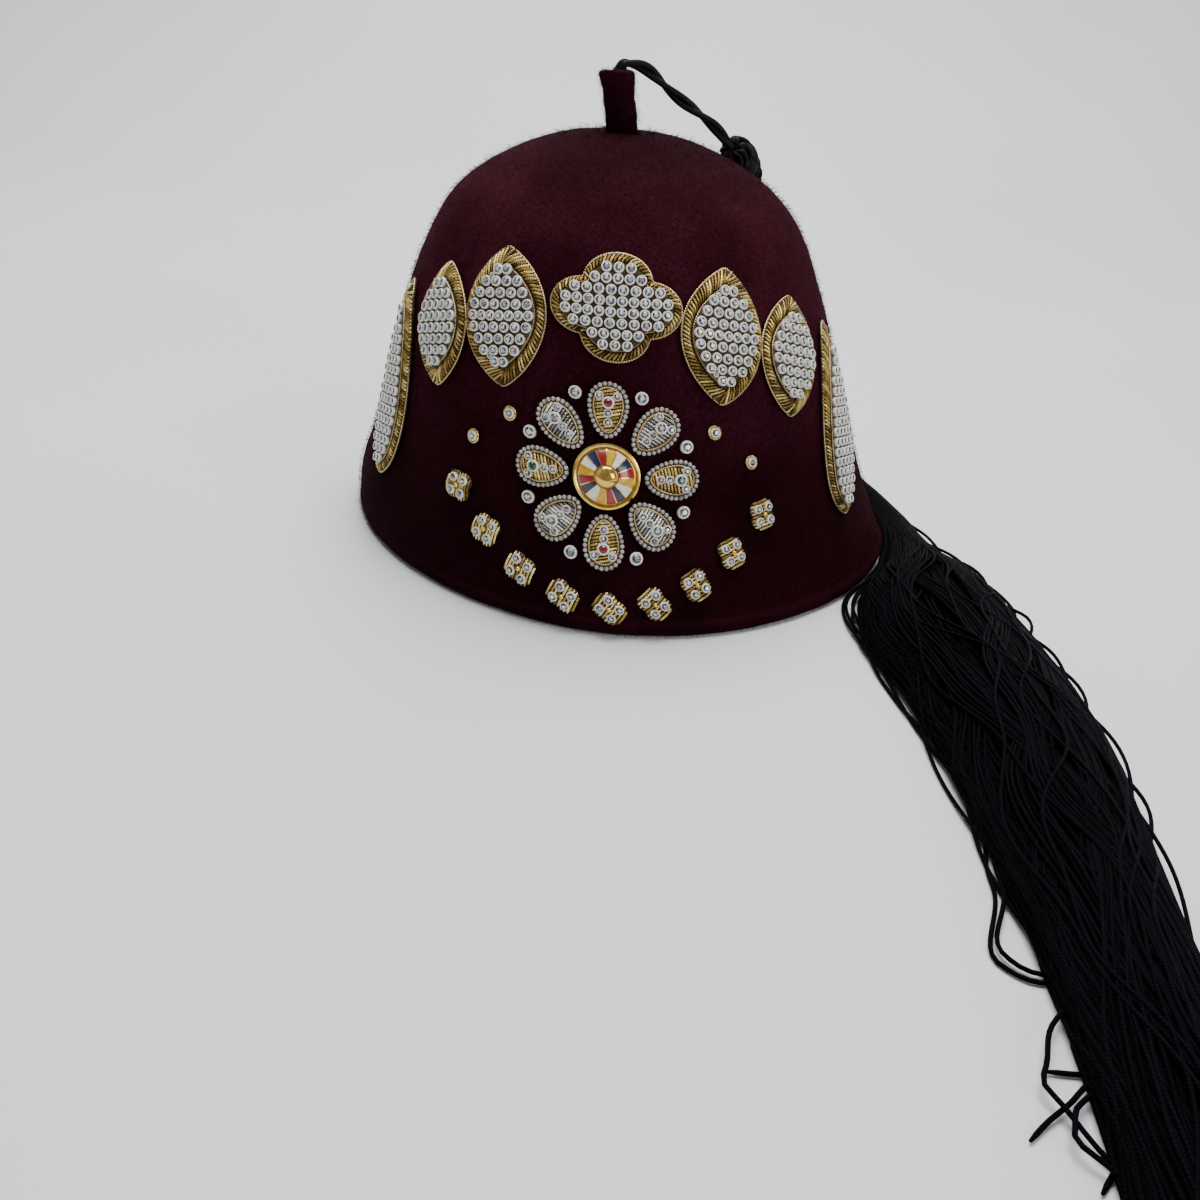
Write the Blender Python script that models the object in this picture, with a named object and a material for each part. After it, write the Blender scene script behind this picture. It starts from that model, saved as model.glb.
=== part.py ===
"""Felt fez with a jewelled front and a long black tassel.

The hat stands on its rim, with its front towards -Y and +X on the right of
someone who faces that front.  The origin is the middle of the rim, on the
surface that the hat stands on.  Every length below is in millimetres and every
angle in degrees; the meshes are made in metres.
"""

from math import cos, degrees, exp, hypot, pi, radians, sin, sqrt

import bmesh
import bpy
from mathutils import Vector

MM = 0.001
GAP = 0.35          # sewn-on pieces stand this far off the felt
UP = Vector((0, 0, 1))

# --- Felt crown -------------------------------------------------------------
FELT = 2.6          # wall thickness
OVAL = 1.08         # front to back, against side to side
CROWN_SIDES = 40
# One row for each level: height, half width, lean towards +X, roundness of the
# oval (2 is an ellipse, less is more pointed at the front, back and sides).
CROWN_ROWS = [
    (0.0, 93.0, 0.5, 1.82),
    (1.0, 94.3, 0.4, 1.82),
    (3.0, 94.6, 0.1, 1.82),
    (4.4, 93.7, -0.4, 1.82),
    (13.0, 91.4, -2.6, 1.84),
    (28.5, 85.2, -4.0, 1.88),
    (45.5, 79.8, -5.0, 1.94),
    (62.5, 74.6, -6.4, 2.00),
    (78.0, 69.6, -7.8, 2.05),
    (94.0, 63.2, -8.6, 2.05),
    (107.0, 55.8, -8.8, 2.05),
    (116.6, 44.5, -8.6, 2.05),
    (123.4, 30.5, -8.8, 2.03),
    (127.6, 17.0, -9.5, 2.00),
    (129.3, 0.0, -10.0, 2.00),
]
TOP_ROW = len(CROWN_ROWS) - 1
RIM_ROWS = 3        # these first rows are the rolled edge
# Soft dents and one bulge left by blocking and handling: azimuth, height, depth,
# half angle, half height.
DENTS = [
    (-51.0, 92.0, 1.5, 9.0, 30.0),
    (-33.0, 104.0, -0.9, 10.0, 18.0),
    (40.0, 96.0, 0.9, 13.0, 22.0),
    (104.0, 70.0, 1.6, 14.0, 32.0),
    (178.0, 84.0, 1.4, 18.0, 26.0),
    (-118.0, 62.0, 1.3, 15.0, 34.0),
]
DENTS_FADE = 40.0   # they fade out where the crown's half width is less than this

# --- Felt stem on the crown -------------------------------------------------
STEM_BASE = Vector((-11.6, -6.0, 129.6))
STEM_TOP = Vector((-15.2, -5.6, 145.8))
STEM_WIDTH = 10.6
STEM_DEPTH = 8.8
STEM_SIDES = 12
# Share of the way up, share of the width.
STEM_PROFILE = [
    (0.0, 1.04), (0.14, 0.97), (0.5, 0.97), (0.78, 1.02), (0.93, 1.12), (1.0, 1.0),
]

# --- Tassel: cord, wound head and skirt -------------------------------------
CORD_DIAMETER = 3.4
# From the stem's top, over the shoulder and down to the wound head.
CORD_ROUTE = [
    (-13.2, -4.9, 147.9),
    (-11.0, -4.0, 148.2),
    (-8.6, -2.3, 147.9),
    (-6.0, 0.0, 146.9),
    (-2.4, 4.0, 144.6),
    (1.9, 8.5, 141.2),
    (6.5, 13.0, 138.0),
    (11.2, 17.5, 135.3),
    (15.9, 21.9, 132.3),
    (20.2, 26.0, 128.9),
    (23.4, 28.7, 125.9),
    (25.7, 30.5, 123.9),
]
CORD_SPACING = 4.0  # between the tube's points
# Both ends of the wound head: azimuth, height, distance off the felt.
HEAD_TOP_PLACE = (130.0, 118.0, 6.0)
HEAD_BOTTOM_PLACE = (136.0, 110.0, 8.3)
HEAD_SIDES = 14
# Wound head: share of the way down it, radius.
HEAD_PROFILE = [
    (0.00, 2.4), (0.07, 3.2), (0.16, 4.8), (0.30, 6.1), (0.48, 6.5),
    (0.64, 6.3), (0.78, 5.6), (0.88, 5.3), (1.00, 6.0),
]

SKIRT_LOCKS = 8
LOCK_STEPS = 3      # points across each lock's top
SKIRT_STEPS = LOCK_STEPS * SKIRT_LOCKS
SKIRT_SPACING = 20.5  # rows further apart than this get a section between them
SKIRT_SPREAD = 0.96  # the sides keep a little thickness: under 1
SKIRT_VALLEY = 0.78  # height between two locks, against the locks' own
# The skirt's middle line, with its half width and its thickness above and below
# that line.  First a round neck in line with the wound head: distance below it,
# half width, above, below.
SKIRT_NECK = [
    (0.7, 5.0, 5.0, 5.0),
    (3.2, 5.4, 5.2, 4.6),
]
# Down the crown: azimuth, height, distance off the felt, half width, above, below.
SKIRT_FALL = [
    (139.8, 101.6, 4.9, 7.0, 6.0, 3.4),
    (141.0, 89.0, 4.2, 8.8, 7.2, 2.9),
    (140.5, 74.0, 4.2, 9.8, 7.6, 2.8),
    (138.5, 56.0, 4.8, 9.4, 7.4, 3.4),
    (137.5, 39.0, 7.0, 8.4, 7.0, 5.0),
    (135.5, 24.0, 9.6, 7.4, 6.6, 5.8),
    (131.5, 12.0, 11.0, 6.8, 6.2, 5.6),
]
# Along the surface that the hat stands on: x, y, half width, above, below.
SKIRT_RUN = [
    (81.4, 58.6, 5.4, 4.4, 3.4),
    (91.0, 39.8, 4.9, 4.0, 2.6),
    (97.2, 22.0, 4.8, 3.8, 2.0),
    (101.0, 3.0, 5.8, 4.4, 1.4),
    (101.8, -15.0, 7.4, 6.2, 0.6),
    (102.2, -32.0, 12.4, 9.4, 0.0),
    (102.6, -50.0, 19.2, 12.2, 0.0),
    (100.6, -70.0, 25.6, 13.6, 0.0),
    (100.8, -92.0, 27.0, 14.2, 0.0),
    (104.5, -118.0, 25.2, 15.0, 0.0),
    (106.5, -152.0, 23.0, 15.5, 0.0),
    (105.8, -190.0, 19.4, 14.5, 0.0),
    (104.5, -228.0, 16.4, 13.5, 0.0),
    (102.6, -262.0, 15.2, 12.5, 0.0),
    (101.0, -290.0, 16.0, 11.5, 0.0),
]
LOCK_LENGTHS = [38.0, 47.0, 52.0, 44.0, 55.0, 49.0, 41.0, 33.0]
LOCK_STRAY = 9.0    # how far the outer locks' ends stray sideways
# Each loose lock: share of its length, share of its size where it starts.
LOCK_TAPER = [(0.35, 0.9), (0.7, 0.8), (1.0, 0.55)]

# --- Jewelled garland -------------------------------------------------------
BORDER = 3.0        # flat bullion border round each bed of stones
BORDER_THICKNESS = 1.5
BED_THICKNESS = 2.5
BED_SLOPE = 0.5     # the bed's side leans in this much
LEAF_TIP = 2.4      # more border than elsewhere, above and below
DROP_TIP = 5.0      # more border than elsewhere, above
OUTLINE_POINTS = 24
LOBE_AT = 0.48      # centre of a quatrefoil's lobe, against its reach
LEAF_POINT = 1.6    # 1 is an oval, more is more pointed at both ends
DROP_POINT = 1.15
DROP_BELLY = 0.38   # how much wider the drop is low down
ROSE_PLACE = (0.5, 87.5, 0.0)
ROSE_SIZE = (37.0, 30.0)
# Mirrored to both sides: name, azimuth, height, tilt outwards, width, length.
LEAVES = [
    ("inner_leaf", 27.0, 81.0, 9.0, 26.5, 39.0),
    ("outer_leaf", 47.0, 74.0, 15.0, 25.0, 36.0),
]
DROP_PLACE = (63.5, 52.0, 9.0)
DROP_SIZE = (21.0, 61.0)

# --- Rosette below the garland ----------------------------------------------
ROSETTE_PLACE = (-0.8, 43.5, 0.0)
PETALS = 8
PETAL_POINTS = 12
PETAL_START = 10.8  # from the rosette's centre
PETAL_LENGTH = 15.6
PETAL_WIDTH = 11.4
PETAL_SWELL = 0.22  # how much wider a petal is towards its tip
# Petal: distance in from its edge, height above its back.
PETAL_LAYERS = [(0.0, 0.0), (0.0, 1.0), (1.3, 1.9), (3.0, 2.1)]
BOSS_RADIUS = 9.6
BOSS_SIDES = 20
# Domed boss: radius against its own, height above its back.
BOSS_LAYERS = [(1.0, 0.0), (1.0, 1.7), (0.93, 2.3), (0.86, 2.1), (0.80, 2.6), (0.45, 4.1)]

# --- Stones in ring settings ------------------------------------------------
STONE_SIDES = 10
# Ring and cut stone: radius against the ring's, height above its back.
STONE_PROFILE = [
    (1.00, 0.0), (1.00, 1.05), (0.74, 1.25), (0.70, 1.05), (0.42, 1.75),
]
PETAL_STONE_AT = 20.6
PETAL_STONE_RADIUS = 1.75
PETAL_STONE_COLOURS = ("red_stone", "crystal", "green_stone", "crystal")
TIP_STONE_AT = 24.4
TIP_STONE_RADIUS = 1.9
SIDE_STONE_RADIUS = 2.2
SIDE_STONES = [(22.5, 56.0), (31.0, 47.0)]     # azimuth, height

# --- Swag of small clusters along the rim -----------------------------------
CLUSTER_SIZE = 9.6
CLUSTER_POINTS = 16
# Cluster: size against its own, height above its back.
CLUSTER_LAYERS = [(1.0, 0.0), (1.0, 1.0), (0.74, 1.7)]
SWAG_TURN = 1.2     # tilt of a cluster for each degree of azimuth
SWAG_PLACES = [(0.0, 8.4), (8.2, 10.2), (16.4, 15.0), (24.6, 22.6), (32.8, 32.0)]

# Colours as sRGB hex, then roughness and metallic value.
FINISHES = {
    "felt": ("#43141f", 0.95, 0.0),
    "tassel": ("#0b0c0f", 0.55, 0.0),
    "gold": ("#c79a3c", 0.32, 1.0),
    "silver": ("#c3c4c8", 0.30, 1.0),
    "crystal": ("#e6eaf0", 0.08, 0.0),
    "red_stone": ("#7d0f1c", 0.08, 0.0),
    "green_stone": ("#0d4a30", 0.08, 0.0),
}
SIDES = ((-1, "left"), (1, "right"))


# --- Small helpers ----------------------------------------------------------

def clear_scene():
    for thing in list(bpy.data.objects):
        bpy.data.objects.remove(thing, do_unlink=True)


def linear(channel):
    return channel / 12.92 if channel <= 0.04045 else ((channel + 0.055) / 1.055) ** 2.4


def finish(name):
    """The named finish as a Principled material, made once."""
    made = bpy.data.materials.get(name)
    if made:
        return made
    colour, roughness, metallic = FINISHES[name]
    channels = [linear(int(colour[i:i + 2], 16) / 255) for i in (1, 3, 5)]
    made = bpy.data.materials.new(name)
    made.use_nodes = True
    shader = made.node_tree.nodes["Principled BSDF"]
    shader.inputs["Base Color"].default_value = (*channels, 1)
    shader.inputs["Roughness"].default_value = roughness
    shader.inputs["Metallic"].default_value = metallic
    return made


def add_object(name, points, faces, material, sharp=35):
    """One closed body, its faces turned outwards, from millimetre points."""
    mesh = bpy.data.meshes.new(name)
    mesh.from_pydata([Vector(p) * MM for p in points], [], faces)
    shape = bmesh.new()
    shape.from_mesh(mesh)
    bmesh.ops.recalc_face_normals(shape, faces=shape.faces)
    shape.to_mesh(mesh)
    shape.free()
    mesh.shade_smooth()
    mesh.set_sharp_from_angle(angle=radians(sharp))
    mesh.materials.append(finish(material))
    bpy.context.collection.objects.link(bpy.data.objects.new(name, mesh))


def middle(points):
    return sum((Vector(p) for p in points), Vector((0, 0, 0))) / len(points)


def skin(rings):
    """Points and side faces of a tube through closed rings of equal length."""
    count = len(rings[0])
    faces = []
    for r in range(len(rings) - 1):
        for i in range(count):
            j = (i + 1) % count
            a, b = r * count, (r + 1) * count
            faces.append((a + i, a + j, b + j, b + i))
    return [p for ring in rings for p in ring], faces


def fan(points, faces, ring_start, count, tip):
    """Close the ring that starts at this point with a fan of triangles."""
    points.append(tip)
    for i in range(count):
        faces.append((ring_start + i, ring_start + (i + 1) % count, len(points) - 1))


def loft(rings, first_tip, last_tip):
    """Closed body through rings of equal length, with a tip at either end."""
    count = len(rings[0])
    points, faces = skin(rings)
    fan(points, faces, 0, count, first_tip)
    fan(points, faces, (len(rings) - 1) * count, count, last_tip)
    return points, faces


def flow(rows, t):
    """A row read between the table's rows, without overshoot."""
    last = len(rows) - 1
    t = min(max(t, 0.0), float(last))
    i = min(int(t), last - 1)
    u = t - i

    def slope(k, c):
        if k == 0:
            return rows[1][c] - rows[0][c]
        if k == last:
            return rows[last][c] - rows[last - 1][c]
        before = rows[k][c] - rows[k - 1][c]
        after = rows[k + 1][c] - rows[k][c]
        return 0.0 if before * after <= 0 else 2 * before * after / (before + after)

    row = []
    for c in range(len(rows[0])):
        start, end = rows[i][c], rows[i + 1][c]
        row.append(start * (1 + 2 * u) * (1 - u) ** 2 + slope(i, c) * u * (1 - u) ** 2
                   + end * u * u * (3 - 2 * u) - slope(i + 1, c) * u * u * (1 - u))
    return row


def spline(points, t):
    """Point on a smooth curve through the given ones; t counts them."""
    last = len(points) - 1
    i = min(int(t), last - 1)
    u = t - i
    p0, p1 = points[max(i - 1, 0)], points[i]
    p2, p3 = points[i + 1], points[min(i + 2, last)]
    return 0.5 * (2 * p1 + (p2 - p0) * u + (2 * p0 - 5 * p1 + 4 * p2 - p3) * u * u
                  + (3 * p1 - p0 - 3 * p2 + p3) * u ** 3)


def heading(points, t, step=0.01):
    """Direction of that curve."""
    last = float(len(points) - 1)
    return (spline(points, min(t + step, last)) - spline(points, max(t - step, 0.0))).normalized()


def evenly_along(points, spacing, fine=20):
    """Points about this far apart on that curve."""
    dense = [spline(points, k / fine) for k in range(fine * (len(points) - 1) + 1)]
    lengths = [0.0]
    for a, b in zip(dense, dense[1:]):
        lengths.append(lengths[-1] + (b - a).length)
    count = round(lengths[-1] / spacing) + 1
    found, k = [], 0
    for n in range(count):
        target = lengths[-1] * n / (count - 1)
        while k < len(lengths) - 2 and lengths[k + 1] < target:
            k += 1
        found.append(dense[k].lerp(dense[k + 1], (target - lengths[k]) / (lengths[k + 1] - lengths[k])))
    return found


# --- The crown as a surface -------------------------------------------------

def dent(azimuth, height):
    """How far the felt is pressed in here."""
    depth = 0.0
    for at, level, deep, half_angle, half_height in DENTS:
        across = ((azimuth - at + 180) % 360 - 180) / half_angle
        along = (height - level) / half_height
        depth += deep * exp(-across * across - along * along)
    return depth


def crown_at(azimuth, t):
    """Outer surface: azimuth 0 faces -Y and turns towards +X, t counts rows."""
    height, half_width, lean, roundness = flow(CROWN_ROWS, t)
    s, c = sin(radians(azimuth)), cos(radians(azimuth))
    reach = half_width * (abs(s) ** roundness + abs(c) ** roundness) ** (-1 / roundness)
    pressed = dent(azimuth, height) * min(1.0, half_width / DENTS_FADE)
    return Vector((lean + (reach - pressed) * s, -(OVAL * reach - pressed) * c, height))


def crown_frame(azimuth, t):
    """Side and rise along the surface for one radian and one row, and its normal."""
    side = (crown_at(azimuth + 0.5, t) - crown_at(azimuth - 0.5, t)) / radians(1)
    rise = (crown_at(azimuth, t + 0.05) - crown_at(azimuth, t - 0.05)) / 0.1
    return side, rise, side.cross(rise).normalized()


def halve(low, high, is_above):
    """The value between low and high where is_above turns true."""
    for _ in range(30):
        half = (low + high) / 2
        if is_above(half):
            high = half
        else:
            low = half
    return low


def row_of(height):
    """Where in the table of rows the crown has this height."""
    return halve(0.0, float(TOP_ROW), lambda t: flow(CROWN_ROWS, t)[0] >= height)


def height_over(x, y):
    """Height of the crown's top above a point near its middle."""
    def is_above(height):
        _, half_width, lean, _ = flow(CROWN_ROWS, row_of(height))
        return hypot(x - lean, y / OVAL) >= half_width
    return halve(CROWN_ROWS[TOP_ROW // 2][0], CROWN_ROWS[TOP_ROW][0], is_above)


def crown_point(azimuth, height, offset=0.0):
    t = row_of(height)
    return crown_at(azimuth, t) + crown_frame(azimuth, t)[2] * offset


def on_crown(place, across, along, offset):
    """A flat design's point laid on the felt round place (azimuth, height, turn)."""
    azimuth, height, turn = place
    c, s = cos(radians(turn)), sin(radians(turn))
    right, upward = across * c - along * s, across * s + along * c
    rise = crown_point(azimuth, height + 1) - crown_point(azimuth, height - 1)
    level = height + upward * 2 / rise.length
    side = crown_frame(azimuth, row_of(level))[0].length
    return crown_point(azimuth + degrees(right / side), level, offset)


def make_crown():
    """Hollow felt wall, open below, with a flat foot inside its rolled edge."""
    azimuths = [360 * i / CROWN_SIDES for i in range(CROWN_SIDES)]
    inner = []
    for t in range(TOP_ROW - 1, RIM_ROWS, -1):
        inner.append([crown_at(a, t) - crown_frame(a, t)[2] * FELT for a in azimuths])
    edge = [crown_at(a, 0) for a in azimuths]
    foot = [p - Vector((p.x, p.y, 0)).normalized() * FELT for p in edge]
    outer_rows = [float(t) for t in range(1, RIM_ROWS)]
    outer_rows += [RIM_ROWS + k / 2 for k in range(2 * (TOP_ROW - RIM_ROWS) - 1)]
    outer = [[crown_at(a, t) for a in azimuths] for t in outer_rows]
    peak = crown_at(0, TOP_ROW)
    points, faces = loft(inner + [foot, edge] + outer, peak - UP * FELT, peak)
    add_object("felt_crown", points, faces, "felt", sharp=60)


def make_stem():
    """Rolled stub of the same felt, leaning a little towards -X."""
    rings = []
    for along, size in STEM_PROFILE:
        centre = STEM_BASE.lerp(STEM_TOP, along)
        ring = []
        for i in range(STEM_SIDES):
            a = 2 * pi * i / STEM_SIDES
            ring.append(centre + Vector((STEM_WIDTH / 2 * size * cos(a),
                                         STEM_DEPTH / 2 * size * sin(a), 0)))
        rings.append(ring)
    base_tip = STEM_BASE.copy()
    for p in rings[0] + [base_tip]:
        p.z = height_over(p.x, p.y) + 1.5 * GAP
    points, faces = loft(rings, base_tip, STEM_TOP)
    add_object("crown_stem", points, faces, "felt", sharp=60)


# --- Tassel -----------------------------------------------------------------

def make_cord():
    """The free cord between the stem and the wound head."""
    route = evenly_along([Vector(p) for p in CORD_ROUTE], CORD_SPACING)
    line = bpy.data.curves.new("tassel_cord", "CURVE")
    line.dimensions = "3D"
    line.bevel_depth = CORD_DIAMETER / 2 * MM
    line.bevel_resolution = 2
    line.use_fill_caps = True
    run = line.splines.new("POLY")
    run.points.add(len(route) - 1)
    for knot, p in zip(run.points, route):
        knot.co = (*(p * MM), 1)
    line.materials.append(finish("tassel"))
    bpy.context.collection.objects.link(bpy.data.objects.new("tassel_cord", line))


def turned(base, axis, profile, sides):
    """Rings about an axis from base: profile rows are (distance, radius)."""
    side = axis.orthogonal().normalized()
    other = axis.normalized().cross(side)
    rings = []
    for distance, radius in profile:
        centre = base + axis.normalized() * distance
        ring = []
        for i in range(sides):
            a = 2 * pi * i / sides
            ring.append(centre + (side * cos(a) + other * sin(a)) * radius)
        rings.append(ring)
    return rings


def head_ends():
    return crown_point(*HEAD_TOP_PLACE), crown_point(*HEAD_BOTTOM_PLACE)


def make_head():
    """Barrel of wound cord that gathers the skirt."""
    top, bottom = head_ends()
    axis = bottom - top
    profile = [(axis.length * share, radius) for share, radius in HEAD_PROFILE]
    points, faces = loft(turned(top, axis, profile, HEAD_SIDES), top, bottom)
    add_object("tassel_head", points, faces, "tassel")


def skirt_route():
    """The skirt's middle line, and rows of (direction away from its rest, sizes)."""
    places, rows = [], []
    top, bottom = head_ends()
    ahead = (bottom - top).normalized()
    outward = crown_frame(HEAD_BOTTOM_PLACE[0], row_of(HEAD_BOTTOM_PLACE[1]))[2]
    for distance, *sizes in SKIRT_NECK:
        places.append(bottom + ahead * distance)
        rows.append((*outward, *sizes))
    for azimuth, height, off, *sizes in SKIRT_FALL:
        places.append(crown_point(azimuth, height, off))
        rows.append((*crown_frame(azimuth, row_of(height))[2], *sizes))
    for x, y, half_width, above, below in SKIRT_RUN:
        places.append(Vector((x, y, below)))
        rows.append((*UP, half_width, above, below))
    return places, rows


def skirt_section(half_width, above, below):
    """Outline across the skirt as (side, rise): lobed above, plain below."""
    upper, lower = [], []
    for k in range(SKIRT_STEPS + 1):
        side = -1 + 2 * k / SKIRT_STEPS
        crest = sqrt(1 - (SKIRT_SPREAD * side) ** 2)
        valley = k % LOCK_STEPS == 0
        upper.append((side * half_width, above * crest * (SKIRT_VALLEY if valley else 1.0)))
        if valley and abs(side) < 1:
            lower.append((side * half_width, -below * crest))
    return upper + lower[::-1]


def make_skirt():
    """Locks of cord fused side by side, apart only at their ends."""
    places, rows = skirt_route()
    stations = []
    for n, (a, b) in enumerate(zip(places, places[1:])):
        stations += [n, n + 0.5] if (b - a).length > SKIRT_SPACING else [n]
    stations.append(len(places) - 1)
    rings = []
    for t in stations:
        ox, oy, oz, *sizes = flow(rows, t)
        centre, ahead = spline(places, t), heading(places, t)
        rise = Vector((ox, oy, oz))
        rise = (rise - ahead * rise.dot(ahead)).normalized()
        side = rise.cross(ahead)
        ring = [centre + side * across + rise * up for across, up in skirt_section(*sizes)]
        for p in ring:
            p.z = max(p.z, 0.0)
        rings.append(ring)
    points, faces = skin(rings)
    fan(points, faces, 0, len(rings[0]), middle(rings[0]))
    add_lock_ends(points, faces, rings)
    add_object("tassel_skirt", points, faces, "tassel", sharp=50)


def add_lock_ends(points, faces, rings):
    """Carry each lock on alone from the last ring to a blunt end."""
    end = (len(rings) - 1) * len(rings[0])
    ahead = middle(rings[-1]) - middle(rings[-2])
    ahead = Vector((ahead.x, ahead.y, 0)).normalized()
    side = UP.cross(ahead)

    def foot(k):
        """The ring's point below its upper edge's valley k."""
        if k in (0, SKIRT_STEPS):
            return end + k
        return end + SKIRT_STEPS + (SKIRT_STEPS - k) // LOCK_STEPS

    for lock, reach in enumerate(LOCK_LENGTHS):
        k = LOCK_STEPS * lock
        ring = [end + n for n in range(k, k + LOCK_STEPS + 1)]
        ring += [foot(n) for n in (k + LOCK_STEPS, k) if foot(n) not in ring]
        centre = middle([points[i] for i in ring])
        ground = Vector((centre.x, centre.y, 0))
        stray = LOCK_STRAY * (lock / (SKIRT_LOCKS - 1) * 2 - 1)
        previous = ring
        for along, size in LOCK_TAPER:
            shift = ahead * reach * along + side * stray * along * along
            current = []
            for i in ring:
                p = ground + (points[i] - ground) * size + shift
                p.z = max(p.z, 0.0)
                current.append(len(points))
                points.append(p)
            for a in range(len(ring)):
                b = (a + 1) % len(ring)
                faces.append((previous[a], previous[b], current[b], current[a]))
            previous = current
        faces.append(tuple(previous))


# --- Jewelled pieces on the felt --------------------------------------------

def circle_angles(count):
    return [2 * pi * i / count for i in range(count)]


def sized(outline, width, height):
    """The outline scaled to this full width and height."""
    wide = max(abs(x) for x, _ in outline)
    high = max(abs(y) for _, y in outline)
    return [(x * width / 2 / wide, y * height / 2 / high) for x, y in outline]


def rose_outline(width, height, count=OUTLINE_POINTS):
    """Quatrefoil with a lobe up, down and to either side."""
    outline = []
    for a in circle_angles(count):
        off_axis = (a + pi / 4) % (pi / 2) - pi / 4
        reach = LOBE_AT * cos(off_axis) + sqrt((1 - LOBE_AT) ** 2 - (LOBE_AT * sin(off_axis)) ** 2)
        outline.append((reach * cos(a), reach * sin(a)))
    return sized(outline, width, height)


def leaf_outline(width, height):
    """Oval that is pointed above and below."""
    outline = []
    for a in circle_angles(OUTLINE_POINTS):
        narrowed = abs(cos(a)) ** LEAF_POINT
        outline.append((narrowed if cos(a) > 0 else -narrowed, sin(a)))
    return sized(outline, width, height)


def drop_outline(width, height):
    """Tear shape, pointed at the top."""
    outline = []
    for a in circle_angles(OUTLINE_POINTS):
        belly = abs(sin(a)) ** DROP_POINT * (1 - DROP_BELLY * cos(a))
        outline.append((-belly if sin(a) > 0 else belly, cos(a)))
    return sized(outline, width, height)


def petal_outline(turn):
    """Petal of the rosette, pointing away from its centre at this angle."""
    oval = [(cos(a) * (1 + PETAL_SWELL * sin(a)), sin(a)) for a in circle_angles(PETAL_POINTS)]
    c, s = cos(radians(turn)), sin(radians(turn))
    outline = []
    for x, y in sized(oval, PETAL_WIDTH, PETAL_LENGTH):
        y += PETAL_START + PETAL_LENGTH / 2
        outline.append((x * c - y * s, x * s + y * c))
    return outline


def inset(outline, width, mitre_limit=0.42):
    """The outline moved inwards by an even width."""
    moved = []
    count = len(outline)
    for i in range(count):
        p = Vector(outline[i])
        before = (p - Vector(outline[i - 1])).normalized()
        after = (Vector(outline[(i + 1) % count]) - p).normalized()
        a, b = Vector((-before.y, before.x)), Vector((-after.y, after.x))
        both = (a + b).normalized()
        moved.append(p + both * width / max(both.dot(a), mitre_limit))
    return [tuple(p) for p in moved]


def shrink(outline, share):
    """The outline scaled about its middle."""
    cx = sum(x for x, _ in outline) / len(outline)
    cy = sum(y for _, y in outline) / len(outline)
    return [(cx + (x - cx) * share, cy + (y - cy) * share) for x, y in outline]


def sewn(name, place, layers, material):
    """Closed body from flat outlines at their heights above its back."""
    rings = [[on_crown(place, x, y, GAP + high) for x, y in outline] for outline, high in layers]
    tips = []
    for outline, high in (layers[0], layers[-1]):
        tips.append(on_crown(place, *shrink(outline, 0)[0], GAP + high))
    points, faces = loft(rings, *tips)
    add_object(name, points, faces, material)


def plaque(name, place, shape, size, tip_above=0.0, tip_below=0.0):
    """Flat bullion border round a raised bed for stones."""
    width, height = size
    outline = shape(width, height)

    def bed(border):
        inner = shape(width - 2 * border, height - 2 * border - tip_above - tip_below)
        return [(x, y + (tip_below - tip_above) / 2) for x, y in inner]

    sewn(name, place, [
        (shrink(outline, 0.5), 0.0),
        (outline, 0.0),
        (outline, BORDER_THICKNESS),
        (bed(BORDER), BORDER_THICKNESS),
        (bed(BORDER + BED_SLOPE), BED_THICKNESS),
        (shrink(bed(BORDER), 0.5), BED_THICKNESS),
    ], "gold")


def make_garland():
    plaque("rose_plaque", ROSE_PLACE, rose_outline, ROSE_SIZE)
    for side, word in SIDES:
        for name, azimuth, height, tilt, *size in LEAVES:
            place = (side * azimuth, height, -side * tilt)
            plaque(f"{word}_{name}", place, leaf_outline, size, LEAF_TIP, LEAF_TIP)
        azimuth, height, tilt = DROP_PLACE
        place = (side * azimuth, height, -side * tilt)
        plaque(f"{word}_drop", place, drop_outline, DROP_SIZE, DROP_TIP)


def make_rosette():
    for k in range(PETALS):
        outline = petal_outline(360 * k / PETALS)
        layers = [(inset(outline, inwards), high) for inwards, high in PETAL_LAYERS]
        sewn(f"petal_{k + 1}", ROSETTE_PLACE, layers, "silver" if k % 2 else "gold")
    disc = [(BOSS_RADIUS * cos(a), BOSS_RADIUS * sin(a)) for a in circle_angles(BOSS_SIDES)]
    layers = [(shrink(disc, share), high) for share, high in BOSS_LAYERS]
    sewn("rosette_boss", ROSETTE_PLACE, layers, "gold")


def stone(name, place, across, along, seat, radius, material):
    """Cut stone fused to its ring setting, standing on the felt or on a piece."""
    base = on_crown(place, across, along, seat)
    axis = on_crown(place, across, along, seat + 1) - base
    profile = [(high, radius * share) for share, high in STONE_PROFILE]
    rings = turned(base, axis, profile, STONE_SIDES)
    points, faces = loft(rings, middle(rings[0]), middle(rings[-1]))
    add_object(name, points, faces, material, sharp=15)


def make_stones():
    petal_top = GAP + PETAL_LAYERS[-1][1]
    for k in range(PETALS):
        turn = 2 * pi * k / PETALS
        stone(f"petal_stone_{k + 1}", ROSETTE_PLACE, -PETAL_STONE_AT * sin(turn),
              PETAL_STONE_AT * cos(turn), petal_top + GAP, PETAL_STONE_RADIUS,
              PETAL_STONE_COLOURS[k % len(PETAL_STONE_COLOURS)])
        turn += pi / PETALS
        stone(f"tip_stone_{k + 1}", ROSETTE_PLACE, -TIP_STONE_AT * sin(turn),
              TIP_STONE_AT * cos(turn), GAP, TIP_STONE_RADIUS, "crystal")
    for side, word in SIDES:
        for n, (azimuth, height) in enumerate(SIDE_STONES, 1):
            stone(f"{word}_dot_stone_{n}", (side * azimuth, height, 0), 0, 0, GAP,
                  SIDE_STONE_RADIUS, "crystal")


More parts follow.
